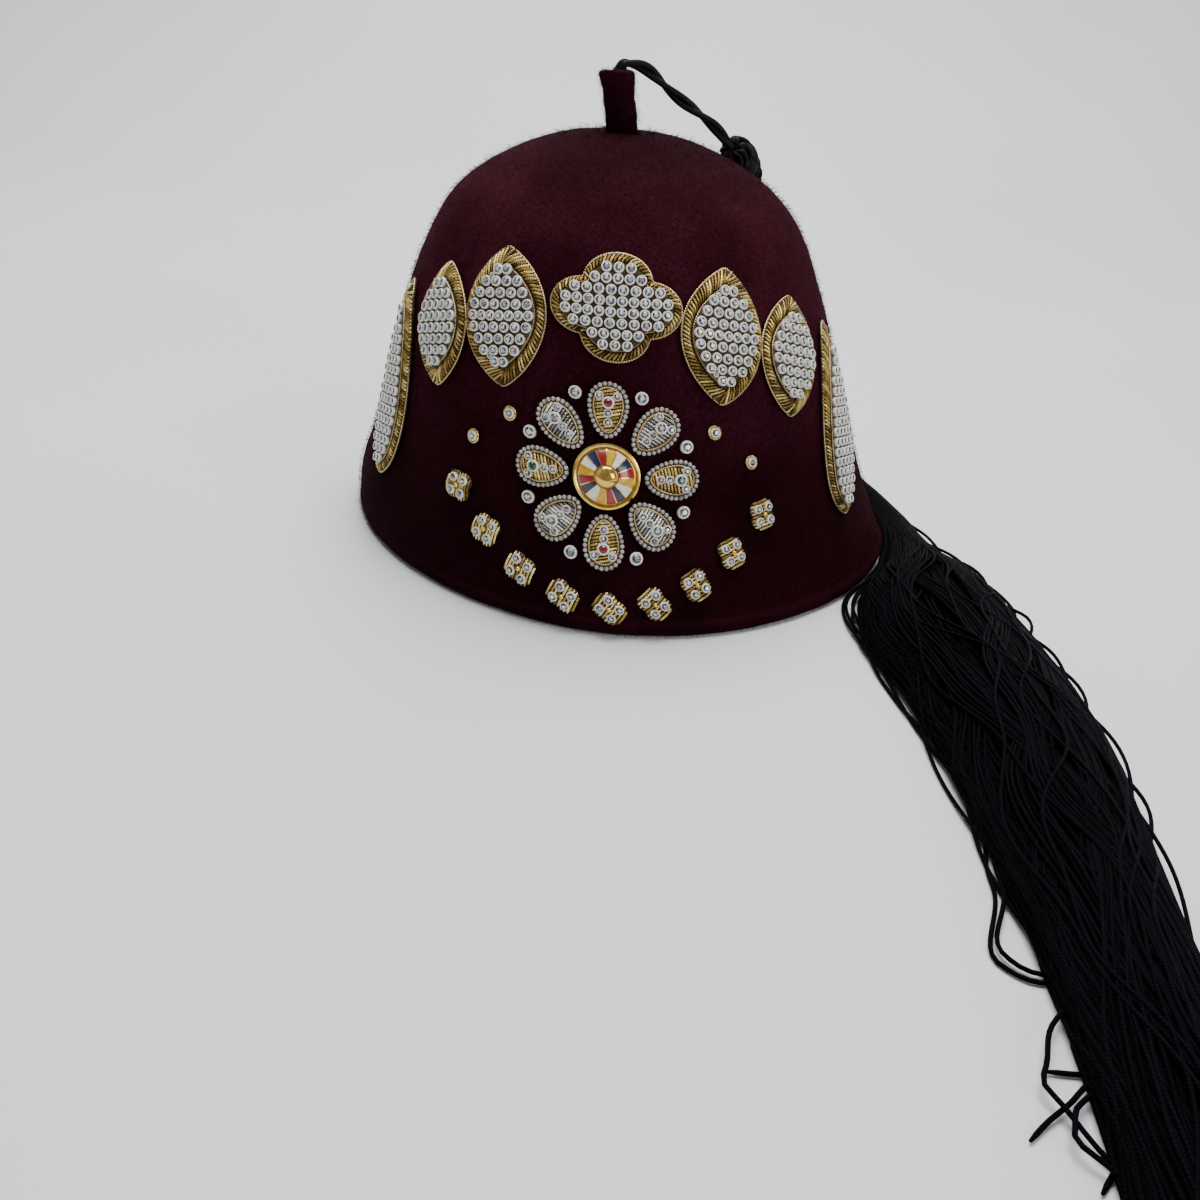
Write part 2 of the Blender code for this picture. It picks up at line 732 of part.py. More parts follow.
def cluster(name, azimuth, height):
    outline = rose_outline(CLUSTER_SIZE, CLUSTER_SIZE, CLUSTER_POINTS)
    layers = [(shrink(outline, share), high) for share, high in CLUSTER_LAYERS]
    sewn(name, (azimuth, height, -SWAG_TURN * azimuth), layers, "gold")


def make_swag():
    """Small four-lobed clusters that follow the rim."""
    cluster("middle_cluster", *SWAG_PLACES[0])
    for n, (azimuth, height) in enumerate(SWAG_PLACES[1:], 1):
        for side, word in SIDES:
            cluster(f"{word}_cluster_{n}", side * azimuth, height)


clear_scene()
make_crown()
make_stem()
make_cord()
make_head()
make_skirt()
make_garland()
make_rosette()
make_stones()
make_swag()
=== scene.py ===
# %% [markdown]
# # A felt fez with a jewelled front and a long black tassel
#
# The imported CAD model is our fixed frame: it says where everything goes. Around
# it we dress the hat in wool felt, bullion embroidery, cut stones and twisted
# black cord. Sizes below are in millimetres until a mesh is made, because that
# is how a hat maker or an embroiderer would measure them.

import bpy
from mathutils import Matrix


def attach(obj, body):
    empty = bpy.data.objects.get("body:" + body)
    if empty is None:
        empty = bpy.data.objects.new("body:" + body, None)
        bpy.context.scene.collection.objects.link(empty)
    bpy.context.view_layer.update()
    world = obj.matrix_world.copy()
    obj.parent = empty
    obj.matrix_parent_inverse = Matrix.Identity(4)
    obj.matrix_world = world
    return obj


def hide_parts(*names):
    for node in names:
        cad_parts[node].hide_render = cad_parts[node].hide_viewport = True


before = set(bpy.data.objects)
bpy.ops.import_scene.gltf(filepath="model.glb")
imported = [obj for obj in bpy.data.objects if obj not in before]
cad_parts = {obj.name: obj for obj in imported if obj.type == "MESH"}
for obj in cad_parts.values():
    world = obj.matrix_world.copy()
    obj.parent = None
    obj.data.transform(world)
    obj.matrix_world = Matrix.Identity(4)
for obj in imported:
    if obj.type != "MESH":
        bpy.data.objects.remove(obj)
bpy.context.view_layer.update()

# %% [markdown]
# Blender's own modules come next. `bpy` drives Blender, `mathutils` does the
# vector work on a few points and `numpy` does it on thousands at once, which
# matters for a tassel of two hundred and sixty cords.

# %% Modules and units
from functools import partial
from math import atan2, cos, pi, radians, sin, sqrt

import bpy
import numpy as np
from mathutils import Matrix, Vector

MM = 0.001
UP = np.array([0.0, 0.0, 1.0])
SIDES = ((-1, "left"), (1, "right"))
chance = np.random.default_rng(7)      # one seed, so each run gives the same hat
print("one millimetre is", MM, "of Blender's metres")

# %% [markdown]
# ## The camera
#
# The photograph was taken with a phone held above the front of the hat, close
# enough that the rim looks much larger than the crown. A wide square view from
# 41 cm away gives the same perspective. The phone was also turned a little, so
# the camera rolls about its own axis.

# %% Camera
CAMERA_PLACE = Vector((-4.5, -410.0, 162.0))
CAMERA_DOWN = 26.0      # degrees below level
CAMERA_ROLL = 5.5
CAMERA_WIDTH = 53.0     # degrees across the square picture

turn = (Matrix.Rotation(radians(90 - CAMERA_DOWN), 4, "X")
        @ Matrix.Rotation(radians(CAMERA_ROLL), 4, "Z"))
bpy.ops.object.camera_add(location=CAMERA_PLACE * MM, rotation=turn.to_euler())
camera = bpy.context.object
camera.name = "photo_camera"
camera.data.sensor_fit = "HORIZONTAL"
camera.data.angle = radians(CAMERA_WIDTH)
camera.data.clip_start = 0.01
bpy.context.scene.camera = camera
print("camera at", list(camera.location))

# %% [markdown]
# ## Helpers for modelling
#
# An operator acts on everything that is selected, so each step begins by
# clearing the selection. To work on part of a mesh, we choose its faces or edges
# in code and enter edit mode.

# %% Selection and edit mode
def select_only(*things):
    """Select these objects and make the first one active."""
    if bpy.context.object and bpy.context.object.mode != "OBJECT":
        bpy.ops.object.mode_set(mode="OBJECT")
    bpy.ops.object.select_all(action="DESELECT")
    for thing in things:
        thing.select_set(True)
    bpy.context.view_layer.objects.active = things[0]


def pick(thing, kind="polygons", wanted=lambda element: True):
    """Select the faces or edges of a mesh that pass a test, then enter edit mode."""
    select_only(thing)
    for group in (thing.data.vertices, thing.data.edges, thing.data.polygons):
        group.foreach_set("select", np.zeros(len(group), bool))
    chosen = 0
    for element in getattr(thing.data, kind):
        if wanted(element):
            element.select = True
            chosen += 1
    bpy.ops.object.mode_set(mode="EDIT")
    bpy.ops.mesh.select_mode(type="FACE" if kind == "polygons" else "EDGE")
    return chosen


def leave_edit():
    bpy.ops.object.mode_set(mode="OBJECT")


def face_outwards(thing):
    """Turn every face of a closed mesh outwards."""
    pick(thing)
    bpy.ops.mesh.normals_make_consistent(inside=False)
    leave_edit()


print("selected so far:", [thing.name for thing in bpy.context.selected_objects])

# %% [markdown]
# The next helpers work on whole objects. They apply a modifier, join finished
# parts, shade a piece smooth, and copy a CAD node to model on. The last one ends
# every step that makes a piece: it lets the piece ride on the hat and hides the
# CAD nodes it stands for.

# %% Whole objects
def apply_modifier(thing, kind, **settings):
    """Add a modifier, set it and apply it."""
    select_only(thing)
    modifier = thing.modifiers.new(kind.lower(), kind)
    for name, value in settings.items():
        setattr(modifier, name, value)
    bpy.ops.object.modifier_apply(modifier=modifier.name)


def joined(name, things):
    """One object from several."""
    select_only(*things)
    bpy.ops.object.join()
    whole = bpy.context.object
    whole.name = whole.data.name = name
    return whole


def smooth(thing, sharp_angle):
    """Shade it smooth, apart from edges sharper than this angle in degrees."""
    select_only(thing)
    bpy.ops.object.shade_smooth_by_angle(angle=radians(sharp_angle))


def copy_of(node, name):
    """A merged copy of a CAD node, its triangles joined to quads where they can be."""
    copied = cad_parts[node].copy()
    copied.data = copied.data.copy()
    copied.name, copied.parent = name, None
    for key in [k for k in copied.keys() if k.startswith("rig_")]:
        del copied[key]
    copied.data.materials.clear()
    bpy.context.collection.objects.link(copied)
    pick(copied)
    bpy.ops.mesh.remove_doubles(threshold=0.00001)
    bpy.ops.mesh.tris_convert_to_quads(face_threshold=radians(50), shape_threshold=radians(60))
    leave_edit()
    return copied


def settle(piece, replaces=(), finish=None):
    """Ride the piece on the hat, and hide the CAD nodes that it stands for."""
    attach(piece, "root")
    if replaces:
        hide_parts(*replaces)
    if finish:
        piece.data.materials.clear()
        piece.data.materials.append(finish)
    piece.data.validate()
    print(piece.name, "faces:", len(piece.data.polygons))


print("CAD faces:", sum(len(node.data.polygons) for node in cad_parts.values()))

# %% [markdown]
# Three small sums come up again and again: vectors brought to length one, how far
# along a line each of its points is, and angles evenly round a circle. Meshes of
# thousands of faces are too slow to build face by face, so the last helper hands
# Blender whole arrays: the points, a row of face corners, and each face's count.
# It can also add a UV map called `twist` and a number called `tone` to each
# point, which the finishes read.

# %% Line and mesh helpers
def normalised(vectors):
    return vectors / np.linalg.norm(vectors, axis=-1, keepdims=True)


def lengths_along(line):
    return np.concatenate([[0], np.cumsum(np.linalg.norm(np.diff(line, axis=0), axis=1))])


def angles(count):
    return np.arange(count) * 2 * pi / count


def new_object(name, points, corners, sizes, uv=None, tones=None):
    """An object from its points, its faces' corners in one row and each face's corner count."""
    mesh = bpy.data.meshes.new(name)
    mesh.vertices.add(len(points))
    mesh.vertices.foreach_set("co", points.reshape(-1))
    mesh.loops.add(len(corners))
    mesh.loops.foreach_set("vertex_index", corners)
    mesh.polygons.add(len(sizes))
    mesh.polygons.foreach_set("loop_start", (np.cumsum(sizes) - sizes).astype(np.int32))
    mesh.update(calc_edges=True)
    if uv is not None:
        mesh.uv_layers.new(name="twist").data.foreach_set("uv", uv.reshape(-1))
        mesh.attributes.new("tone", "FLOAT", "POINT").data.foreach_set("value", tones)
    made = bpy.data.objects.new(name, mesh)
    bpy.context.collection.objects.link(made)
    return made


print("a circle in four steps:", angles(4).round(2))

# %% [markdown]
# ## Helpers for materials
#
# A finish is a Principled shader with a few texture nodes in front of it. One
# function adds a node with its settings and its links. Colours are picked in
# sRGB, as on a screen, and turned to the linear values that the shader wants.

# %% Colour and node helpers
def linear(hex_colour):
    """A linear RGBA colour from #rrggbb."""
    channels = [int(hex_colour[i:i + 2], 16) / 255 for i in (1, 3, 5)]
    return [c / 12.92 if c <= 0.04045 else ((c + 0.055) / 1.055) ** 2.4 for c in channels] + [1.0]


def connect(node, **links):
    """Set inputs, by name or number, to a value, an output or a node's first output."""
    for name, value in links.items():
        numbered = name[0] == "i" and name[1:].isdigit()
        socket = node.inputs[int(name[1:]) if numbered else name.replace("_", " ")]
        if isinstance(value, bpy.types.Node):
            value = value.outputs[0]
        if isinstance(value, bpy.types.NodeSocket):
            node.id_data.links.new(value, socket)
        else:
            socket.default_value = value
    return node


def add_node(tree, kind, settings=None, stops=(), **links):
    """A node with its settings, a ramp's (position, hex colour) stops, and its inputs."""
    node = tree.nodes.new("ShaderNode" + kind)
    for name, value in (settings or {}).items():
        setattr(node, name, value)
    for n, (position, hex_colour) in enumerate(stops):
        elements = node.color_ramp.elements
        element = elements[n] if n < 2 else elements.new(position)
        element.position, element.color = position, linear(hex_colour)
    return connect(node, **links)


def new_finish(name, **sockets):
    """A material: itself, add_node for its tree, its shader and its Object coordinates."""
    material = bpy.data.materials.new(name)
    material.use_nodes = True
    tree = material.node_tree
    shader = connect(tree.nodes["Principled BSDF"], **sockets)
    add = partial(add_node, tree)
    return material, add, shader, add("TexCoord").outputs["Object"]


def per_mm(size):
    """Noise scale, for a space measured in metres, whose spots are about this many mm."""
    return 1000 / size


print("middle grey is", round(linear("#808080")[0], 3), "in linear light")

# %% [markdown]
# ## Cord, thread and strand
#
# The tassel, its winding and the gold edging are all cords: a small round
# section carried along a line. Blender's curves could do that one by one, but
# the tassel has two hundred and sixty, so one function sweeps a section along
# many lines at once. It also lays a UV map on them: U counts the turns of the
# twist and V is the length in centimetres, so a material can draw the twist
# along every cord, however it bends.

# %% Sweep a round section along lines
def frames_along(line):
    """Direction, side and rise at each point of a line."""
    ahead = normalised(np.gradient(line, axis=0))
    side = np.cross(ahead, UP)
    upright = np.linalg.norm(side, axis=1) < 0.05
    side[upright] = np.cross(ahead[upright], np.array([1.0, 0, 0]))
    side = normalised(side)
    return ahead, side, np.cross(side, ahead)


def tube_faces(rings, sides, start=0):
    """Corner numbers of a tube's quads, and those of its two ends."""
    k = np.arange(sides)
    i = np.arange(rings - 1)[:, None] * sides + start + k
    j = i - k + (k + 1) % sides
    quads = np.stack([i, j, j + sides, i + sides], -1).reshape(-1, 4)
    return quads, [start + k[::-1], start + (rings - 1) * sides + k]


def swept(name, lines, radius, sides=6, twist_mm=3.0, tones=None, unit=MM):
    """Closed tubes along lines of points in mm; radius is a number, or a list for each line."""
    vertices, quads, caps, turns, lengths, shades = [], [], [], [], [], []
    start = 0
    k = np.arange(sides)
    around = -k * 2 * pi / sides     # clockwise, so that the faces point outwards
    for n, line in enumerate(lines):
        line = np.asarray(line, float)
        _, side, rise = frames_along(line)
        wide = radius[n] if isinstance(radius, list) else radius
        wide = np.broadcast_to(np.asarray(wide, float), (len(line),)).copy()
        wide[[0, -1]] *= 0.6        # the ends are drawn in
        ring = side[:, None] * np.cos(around)[:, None] + rise[:, None] * np.sin(around)[:, None]
        vertices.append((line[:, None] + ring * wide[:, None, None]).reshape(-1, 3))
        faces, ends = tube_faces(len(line), sides, start)
        quads.append(faces)
        caps.append(ends)
        u = np.broadcast_to(k / sides, (len(line) - 1, sides))
        v = np.broadcast_to(lengths_along(line)[:, None], (len(line), sides))
        turns.append(np.stack([u, u + 1 / sides, u + 1 / sides, u], -1).reshape(-1, 4))
        lengths.append(np.stack([v[:-1], v[:-1], v[1:], v[1:]], -1).reshape(-1, 4))
        shades.append(np.full(len(line) * sides, tones[n] if tones else 0.5))
        start += len(line) * sides
    quads, turns, lengths = [np.concatenate(rows) for rows in (quads, turns, lengths)]
    corners = np.concatenate([quads.reshape(-1), np.array(caps).reshape(-1)]).astype(np.int32)
    uv = np.zeros((len(corners), 2))
    uv[:quads.size] = np.stack([turns + lengths / twist_mm, lengths / 10], -1).reshape(-1, 2)
    made = new_object(name, np.concatenate(vertices) * unit, corners,
                      np.array([4] * len(quads) + [sides] * 2 * len(lines)), uv, np.concatenate(shades))
    made.data.shade_smooth()
    return made


print("faces of a six-sided tube of ten rings:", len(tube_faces(10, 6)[0]) + 2)

# %% [markdown]
# ## Satin cord
#
# Tassel cord is rayon: fine bright filaments, twisted hard. Dyed black, it is
# nearly as dark as soot where it faces you, but each twist keeps a narrow pale
# glint along its ridge. So the colour is almost black, the roughness is middling
# and uneven, as loose filaments make it, and the relief is the twist itself,
# drawn on the UV map. Gilt wire is twisted too, so one function serves for both.

# %% Twisted finish, and black satin cord
def twisted_finish(name, stops, bands, relief_mm, grain_mm, grain_share, rough, **sockets):
    """Bands in relief along the twist, and a grain that tints the thread and dulls it."""
    material, add, shader, place = new_finish(name, **sockets)
    plies = add("TexWave", {"bands_direction": "X", "wave_profile": "SIN"}, Distortion=0.0,
                Vector=add("UVMap", {"uv_map": "twist"}), Scale=2 * pi / 20 * bands)
    grain = add("TexNoise", Vector=place, Scale=per_mm(grain_mm), Detail=3.0)
    tone = add("Attribute", {"attribute_name": "tone"}).outputs["Fac"]
    shade = add("Math", {"operation": "MULTIPLY_ADD"}, i0=grain, i1=grain_share, i2=tone)
    dull = add("MapRange", i0=grain, i1=0.3, i2=0.7, i3=rough[0], i4=rough[1])
    relief = add("Bump", Strength=1.0, Distance=relief_mm * MM, Height=plies.outputs["Fac"])
    connect(shader, Base_Color=add("ValToRGB", stops=stops, i0=shade), Roughness=dull, Normal=relief)
    return material


def cord_finish(name, dark, bright, relief_mm, gloss):
    return twisted_finish(name, [(0.3, dark), (1.0, bright)], 2, relief_mm, 1.4, 0.5, (0.5, 0.68),
                          Specular_IOR_Level=gloss, IOR=1.5)


satin_cord = cord_finish("black_rayon_cord", "#020203", "#0a0a0e", 0.12, 0.015)
heavy_cord = cord_finish("black_satin_two_ply_cord", "#040405", "#0c0d11", 0.10, 0.12)
print("cord finishes:", satin_cord.name, heavy_cord.name)

# %% [markdown]
# ## The crown as a surface
#
# The felt was steamed over a wooden block, so its shape is a stack of soft
# ovals. The table gives each level's height, half width, lean towards the right
# and roundness, exactly as the CAD source does. Handling has left a few shallow
# dents in it.

# %% Crown table: height, half width, lean to the right and roundness
CROWN_ROWS = [
    (0.0, 93.0, 0.5, 1.82),
    (1.0, 94.3, 0.4, 1.82),
    (3.0, 94.6, 0.1, 1.82),
    (4.4, 93.7, -0.4, 1.82),
    (13.0, 91.4, -2.6, 1.84),
    (28.5, 85.2, -4.0, 1.88),
    (45.5, 79.8, -5.0, 1.94),
    (62.5, 74.6, -6.4, 2.00),
    (78.0, 69.6, -7.8, 2.05),
    (94.0, 63.2, -8.6, 2.05),
    (107.0, 55.8, -8.8, 2.05),
    (116.6, 44.5, -8.6, 2.05),
    (123.4, 30.5, -8.8, 2.03),
    (127.6, 17.0, -9.5, 2.00),
    (129.3, 0.0, -10.0, 2.00),
]
OVAL = 1.08          # front to back, against side to side
DENTS = [            # azimuth, height, depth, half angle, half height
    (-51.0, 92.0, 1.5, 9.0, 30.0),
    (-33.0, 104.0, -0.9, 10.0, 18.0),
    (40.0, 96.0, 0.9, 13.0, 22.0),
    (104.0, 70.0, 1.6, 14.0, 32.0),
    (178.0, 84.0, 1.4, 18.0, 26.0),
    (-118.0, 62.0, 1.3, 15.0, 34.0),
]
DENTS_FADE = 40.0
print("crown:", CROWN_ROWS[-1][0], "mm high in", len(CROWN_ROWS), "rows, with", len(DENTS), "dents")

# %% [markdown]
# Between its rows, the table is read along a curve that never overshoots them. A
# point of the felt is then an azimuth and a height, and its neighbours give the
# direction straight out of the felt. Thousands of points are read at once, so
# that embroidery and nap can be laid on the felt later.

# %% Read the crown at any azimuth and height
def flow(rows, t):
    """Rows read between the table's rows, without overshoot; t counts rows."""
    rows = np.asarray(rows, float)
    t = np.clip(np.atleast_1d(np.asarray(t, float)), 0, len(rows) - 1)
    i = np.minimum(t.astype(int), len(rows) - 2)
    u = (t - i)[:, None]
    step = np.diff(rows, axis=0)
    before, after = step[:-1], step[1:]
    same_way = before * after > 0
    both = np.where(same_way, before + after, 1.0)
    slope = np.vstack([step[:1], np.where(same_way, 2 * before * after / both, 0.0), step[-1:]])
    return (rows[i] * (1 + 2 * u) * (1 - u) ** 2 + slope[i] * u * (1 - u) ** 2
            + rows[i + 1] * u * u * (3 - 2 * u) - slope[i + 1] * u * u * (1 - u))


FINE_ROWS = flow(CROWN_ROWS, np.linspace(0, len(CROWN_ROWS) - 1, 4001))


def crown_surface(azimuth, height):
    """Points on the felt; azimuth 0 is the front and 90 the right side."""
    half, lean, roundness = [np.interp(height, FINE_ROWS[:, 0], FINE_ROWS[:, c]) for c in (1, 2, 3)]
    s, c = np.sin(np.radians(azimuth)), np.cos(np.radians(azimuth))
    reach = half * (np.abs(s) ** roundness + np.abs(c) ** roundness) ** (-1 / roundness)
    pressed = 0
    for at, level, deep, half_angle, half_height in DENTS:
        across = ((azimuth - at + 180) % 360 - 180) / half_angle
        pressed = pressed + deep * np.exp(-across ** 2 - ((height - level) / half_height) ** 2)
    pressed = pressed * np.minimum(1, half / DENTS_FADE)
    return np.stack([lean + (reach - pressed) * s, -(OVAL * reach - pressed) * c, height + 0 * s], -1)


def crown_point(azimuth, height, off=0.0):
    """Points this far off the felt."""
    azimuth, height = np.broadcast_arrays(np.asarray(azimuth, float), np.asarray(height, float))
    side = crown_surface(azimuth + 0.5, height) - crown_surface(azimuth - 0.5, height)
    rise = crown_surface(azimuth, height + 0.3) - crown_surface(azimuth, height - 0.3)
    out = normalised(np.cross(side, rise))
    return crown_surface(azimuth, height) + out * np.asarray(off, float)[..., None]


print("rim half width:", crown_point(90, 3)[0], "front of the crown at 50 mm:", crown_point(0, 50)[1])

# %% [markdown]
# ## The free cord
#
# A two-ply satin cord leaves the middle of the felt stem and drops over the
# shoulder of the crown to the tassel. The plies lie side by side and cross every
# 20 mm, so the cord looks like a flat plait: wide, narrow, wide. Two tubes that
# wind round one shared line make exactly that shape. Its line is the CAD one,
# with its first point carried down into the felt.

# %% Two-ply cord
CORD_ROUTE = [
    (-13.2, -4.9, 147.9), (-11.0, -4.0, 148.2), (-8.6, -2.3, 147.9), (-6.0, 0.0, 146.9),
    (-2.4, 4.0, 144.6), (1.9, 8.5, 141.2), (6.5, 13.0, 138.0), (11.2, 17.5, 135.3),
    (15.9, 21.9, 132.3), (20.2, 26.0, 128.9), (23.4, 28.7, 125.9), (25.7, 30.5, 123.9),
]
CORD_EXIT = (-14.4, -5.3, 145.0)
PLY_RADIUS = 1.05
PLY_OFF_LINE = 0.95
HALF_PITCH = 20.0       # the plies change sides once in this length
FIRST_TURN = -0.8       # how the plies stand at the exit, in radians


def curve_through(points, spacing):
    """Points about this far apart on a smooth curve through the given ones."""
    p = np.asarray(points, float)
    padded = np.vstack([p[:1], p, p[-1:]])
    t = np.linspace(0, len(p) - 1, 40 * (len(p) - 1) + 1)
    i = np.minimum(t.astype(int), len(p) - 2)
    u = (t - i)[:, None]
    a, b, c, d = padded[i], padded[i + 1], padded[i + 2], padded[i + 3]
    dense = 0.5 * (2 * b + (c - a) * u + (2 * a - 5 * b + 4 * c - d) * u ** 2
                   + (3 * b - a - 3 * c + d) * u ** 3)
    along = lengths_along(dense)
    at = np.linspace(0, along[-1], max(2, round(along[-1] / spacing) + 1))
    return np.stack([np.interp(at, along, dense[:, k]) for k in range(3)], -1)


cord_line = curve_through([CORD_EXIT] + CORD_ROUTE, 0.45)
_, cord_side, cord_rise = frames_along(cord_line)
cord_along = lengths_along(cord_line)
plies = []
for phase in (0.0, pi):
    swing = pi * cord_along / HALF_PITCH + phase + FIRST_TURN
    plies.append(cord_line + PLY_OFF_LINE * (cord_side * np.cos(swing)[:, None]
                                             + cord_rise * np.sin(swing)[:, None]))
tassel_cord = swept("two_ply_cord", plies, PLY_RADIUS, sides=12, twist_mm=2.2)
settle(tassel_cord, ["tassel_cord"], heavy_cord)
print("cord length:", round(float(cord_along[-1]), 1), "mm")

# %% [markdown]
# ## The wound head
#
# The tassel's head is a little barrel of the same cord, wound round and round,
# with a crown of small tight loops knotted on its top. The winding is one helix that
# follows the barrel's profile, and the loops are short arches that leave the
# middle and come down on its shoulder.

# %% Wound head of the tassel
HEAD_TOP = crown_point(130.0, 118.0, 6.0)
HEAD_BOTTOM = crown_point(136.0, 110.0, 8.3)
HEAD_PROFILE = [
    (0.00, 2.4), (0.07, 3.2), (0.16, 4.8), (0.30, 6.1), (0.48, 6.5),
    (0.64, 6.3), (0.78, 5.6), (0.88, 5.3), (1.00, 6.0),
]
WINDING = 0.62          # radius of the winding cord
LOOPS = 9
WOUND_SHARE = 0.8       # how much of the head's length the winding covers
WINDING_STEP = 1.75     # between its turns, in radii of the winding cord
LOOP_RADIUS = 0.86      # radius of the cord in the loops

head_axis = HEAD_BOTTOM - HEAD_TOP
head_length = float(np.linalg.norm(head_axis))
head_axis = head_axis / head_length
head_side = normalised(np.cross(head_axis, UP))
head_rise = np.cross(head_side, head_axis)


def round_head(share, radius, angle):
    """Points on the head: share of the way down, distance from its axis, angle in radians."""
    share, radius, angle = [a[..., None] for a in np.broadcast_arrays(share, radius, angle)]
    return (HEAD_TOP + head_axis * (share * head_length)
            + (head_side * np.cos(angle) + head_rise * np.sin(angle)) * radius)


profile_share, profile_radius = np.array(HEAD_PROFILE).T
turns_down = WOUND_SHARE * head_length / (WINDING_STEP * WINDING)
share = np.linspace(0.22, 0.995, int(turns_down * 28))
helix = round_head(share, np.interp(share, profile_share, profile_radius) - WINDING,
                   np.linspace(0, 2 * pi * turns_down, len(share)))
arches = []
s = np.linspace(0, 1, 26)
arch = np.sin(pi * s)
for k in range(LOOPS):
    arches.append(round_head(0.03 + 0.24 * s ** 1.6 - 0.10 * arch, 1.0 + 4.4 * s ** 0.85 + 0.3 * arch,
                             2 * pi * k / LOOPS + 0.55 * arch + 0.2 * (k % 2)))
middle = round_head(profile_share * 0.96 + 0.02, 0.0, 0.0)
tassel_head = joined("wound_head", [
    swept("head_winding", [helix], WINDING, sides=8, twist_mm=2.4),
    swept("head_loops", arches, LOOP_RADIUS, sides=10, twist_mm=2.4),
    swept("head_barrel", [middle], [np.maximum(profile_radius - 1.5 * WINDING, 0.8)], sides=20)])
settle(tassel_head, ["tassel_head"], heavy_cord)

# %% [markdown]
# ## The tassel's skirt
#
# From the head, the skirt falls down the back of the crown, lands beside the
# hat and sweeps forward over the table in a broad wavy fan. Its middle line and
# its width and thickness are the CAD ones. The real thing is a bundle of long
# twisted cords that part into locks, and the locks cross over one another. So
# each lock gets a wavy line of its own inside the skirt, each cord winds slowly
# about its lock's line, and a few strays wander off on their own.

# %% Middle line and sections of the skirt
# Distance below the head, half width, height over the line and depth under it.
SKIRT_NECK = [(-2.5, 3.5, 3.5, 3.5), (0.7, 5.0, 5.0, 5.0), (3.2, 5.4, 5.2, 4.6)]
SKIRT_FALL = [          # azimuth, height and distance off the felt, then the same three
    (139.8, 101.6, 4.9, 7.0, 6.0, 3.4),
    (141.0, 89.0, 4.2, 8.8, 7.2, 2.9),
    (140.5, 74.0, 4.2, 9.8, 7.6, 2.8),
    (138.5, 56.0, 4.8, 9.4, 7.4, 3.4),
    (137.5, 39.0, 7.0, 8.4, 7.0, 5.0),
    (135.5, 24.0, 9.6, 7.4, 6.6, 5.8),
    (131.5, 12.0, 11.0, 6.8, 6.2, 5.6),
]
SKIRT_RUN = [           # x and y on the table, then the same three
    (81.4, 58.6, 5.4, 4.4, 3.4),
    (91.0, 39.8, 4.9, 4.0, 2.6),
    (97.2, 22.0, 4.8, 3.8, 2.0),
    (101.0, 3.0, 5.8, 4.4, 1.4),
    (101.8, -15.0, 7.4, 6.2, 0.6),
    (102.2, -32.0, 12.4, 9.4, 0.0),
    (102.6, -50.0, 19.2, 12.2, 0.0),
    (100.6, -70.0, 25.6, 13.6, 0.0),
    (100.8, -92.0, 27.0, 14.2, 0.0),
    (104.5, -118.0, 25.2, 15.0, 0.0),
    (106.5, -152.0, 23.0, 15.5, 0.0),
    (105.8, -190.0, 19.4, 14.5, 0.0),
    (104.5, -228.0, 16.4, 13.5, 0.0),
    (102.6, -262.0, 15.2, 12.5, 0.0),
    (101.0, -290.0, 16.0, 11.5, 0.0),
]
SKIRT_TAIL = [(98.6, -345.0, 24.0, 9.0, 0.0)]     # the loose ends spread a little


def outward(azimuth, height):
    """The direction straight out of the felt."""
    return crown_point(azimuth, height, 1.0) - crown_point(azimuth, height, 0.0)


places, sizes = [], []
for distance, *section in SKIRT_NECK:
    places.append(HEAD_BOTTOM + head_axis * distance)
    sizes.append([*outward(135.5, 112.8), *section])
for azimuth, height, off, *section in SKIRT_FALL:
    places.append(crown_point(azimuth, height, off))
    sizes.append([*outward(azimuth, height), *section])
for x, y, wide, over, under in SKIRT_RUN + SKIRT_TAIL:
    places.append(np.array([x, y, under]))
    sizes.append([*UP, wide, over, under])
places, sizes = np.array(places), np.array(sizes)

STEP = 3.2              # between the points of a cord
skirt_line = curve_through(places, STEP)
nearest = np.array([np.argmin(np.linalg.norm(skirt_line - p, axis=1)) for p in places])
rows_at = np.interp(np.arange(len(skirt_line)), nearest, np.arange(len(places)))
skirt_rows = flow(sizes, rows_at)
skirt_ahead = normalised(np.gradient(skirt_line, axis=0))
lean = np.sum(skirt_rows[:, :3] * skirt_ahead, axis=1)[:, None]
skirt_rise = normalised(skirt_rows[:, :3] - skirt_ahead * lean)
skirt_side = np.cross(skirt_rise, skirt_ahead)
half_width, above, below = skirt_rows[:, 3:].T
skirt_along = np.arange(len(skirt_line)) * STEP
total = float(skirt_along[-1])
print("skirt line:", round(total), "mm in", len(skirt_line), "steps")

# %% [markdown]
# A lock's place across the skirt is a slow wave, so neighbouring locks drift
# over and under each other. Inside it, every cord sits at its own distance from
# the lock's line and turns about it once in 12 to 20 cm. On top lie flat
# ribbons of seven cords side by side, which swing from one edge to the other and
# cross at every angle, as the real cords do. Points that would leave the skirt
# are drawn back to its surface, and none goes lower than the table.

# %% Where a cord may run
STRAND = 0.52           # radius of one cord


def wave(amplitude, shortest, longest):
    """A slow sine along the skirt, its length in mm and its phase left to chance."""
    turns = 2 * pi * skirt_along / chance.uniform(shortest, longest)
    return amplitude * np.sin(turns + chance.uniform(0, 2 * pi))


def inside_skirt(across, up, share):
    """Draw a cord's line back into the skirt's section, in mm."""
    wide = np.maximum(half_width - STRAND, 1.0)
    high = np.where(up > 0, np.maximum(above - STRAND, 1.0), np.maximum(below - STRAND, 0.3))
    reach = np.hypot(across / wide, up / high)
    back = np.minimum(1.0, share / np.maximum(reach, 1e-6))
    return across * back, up * back


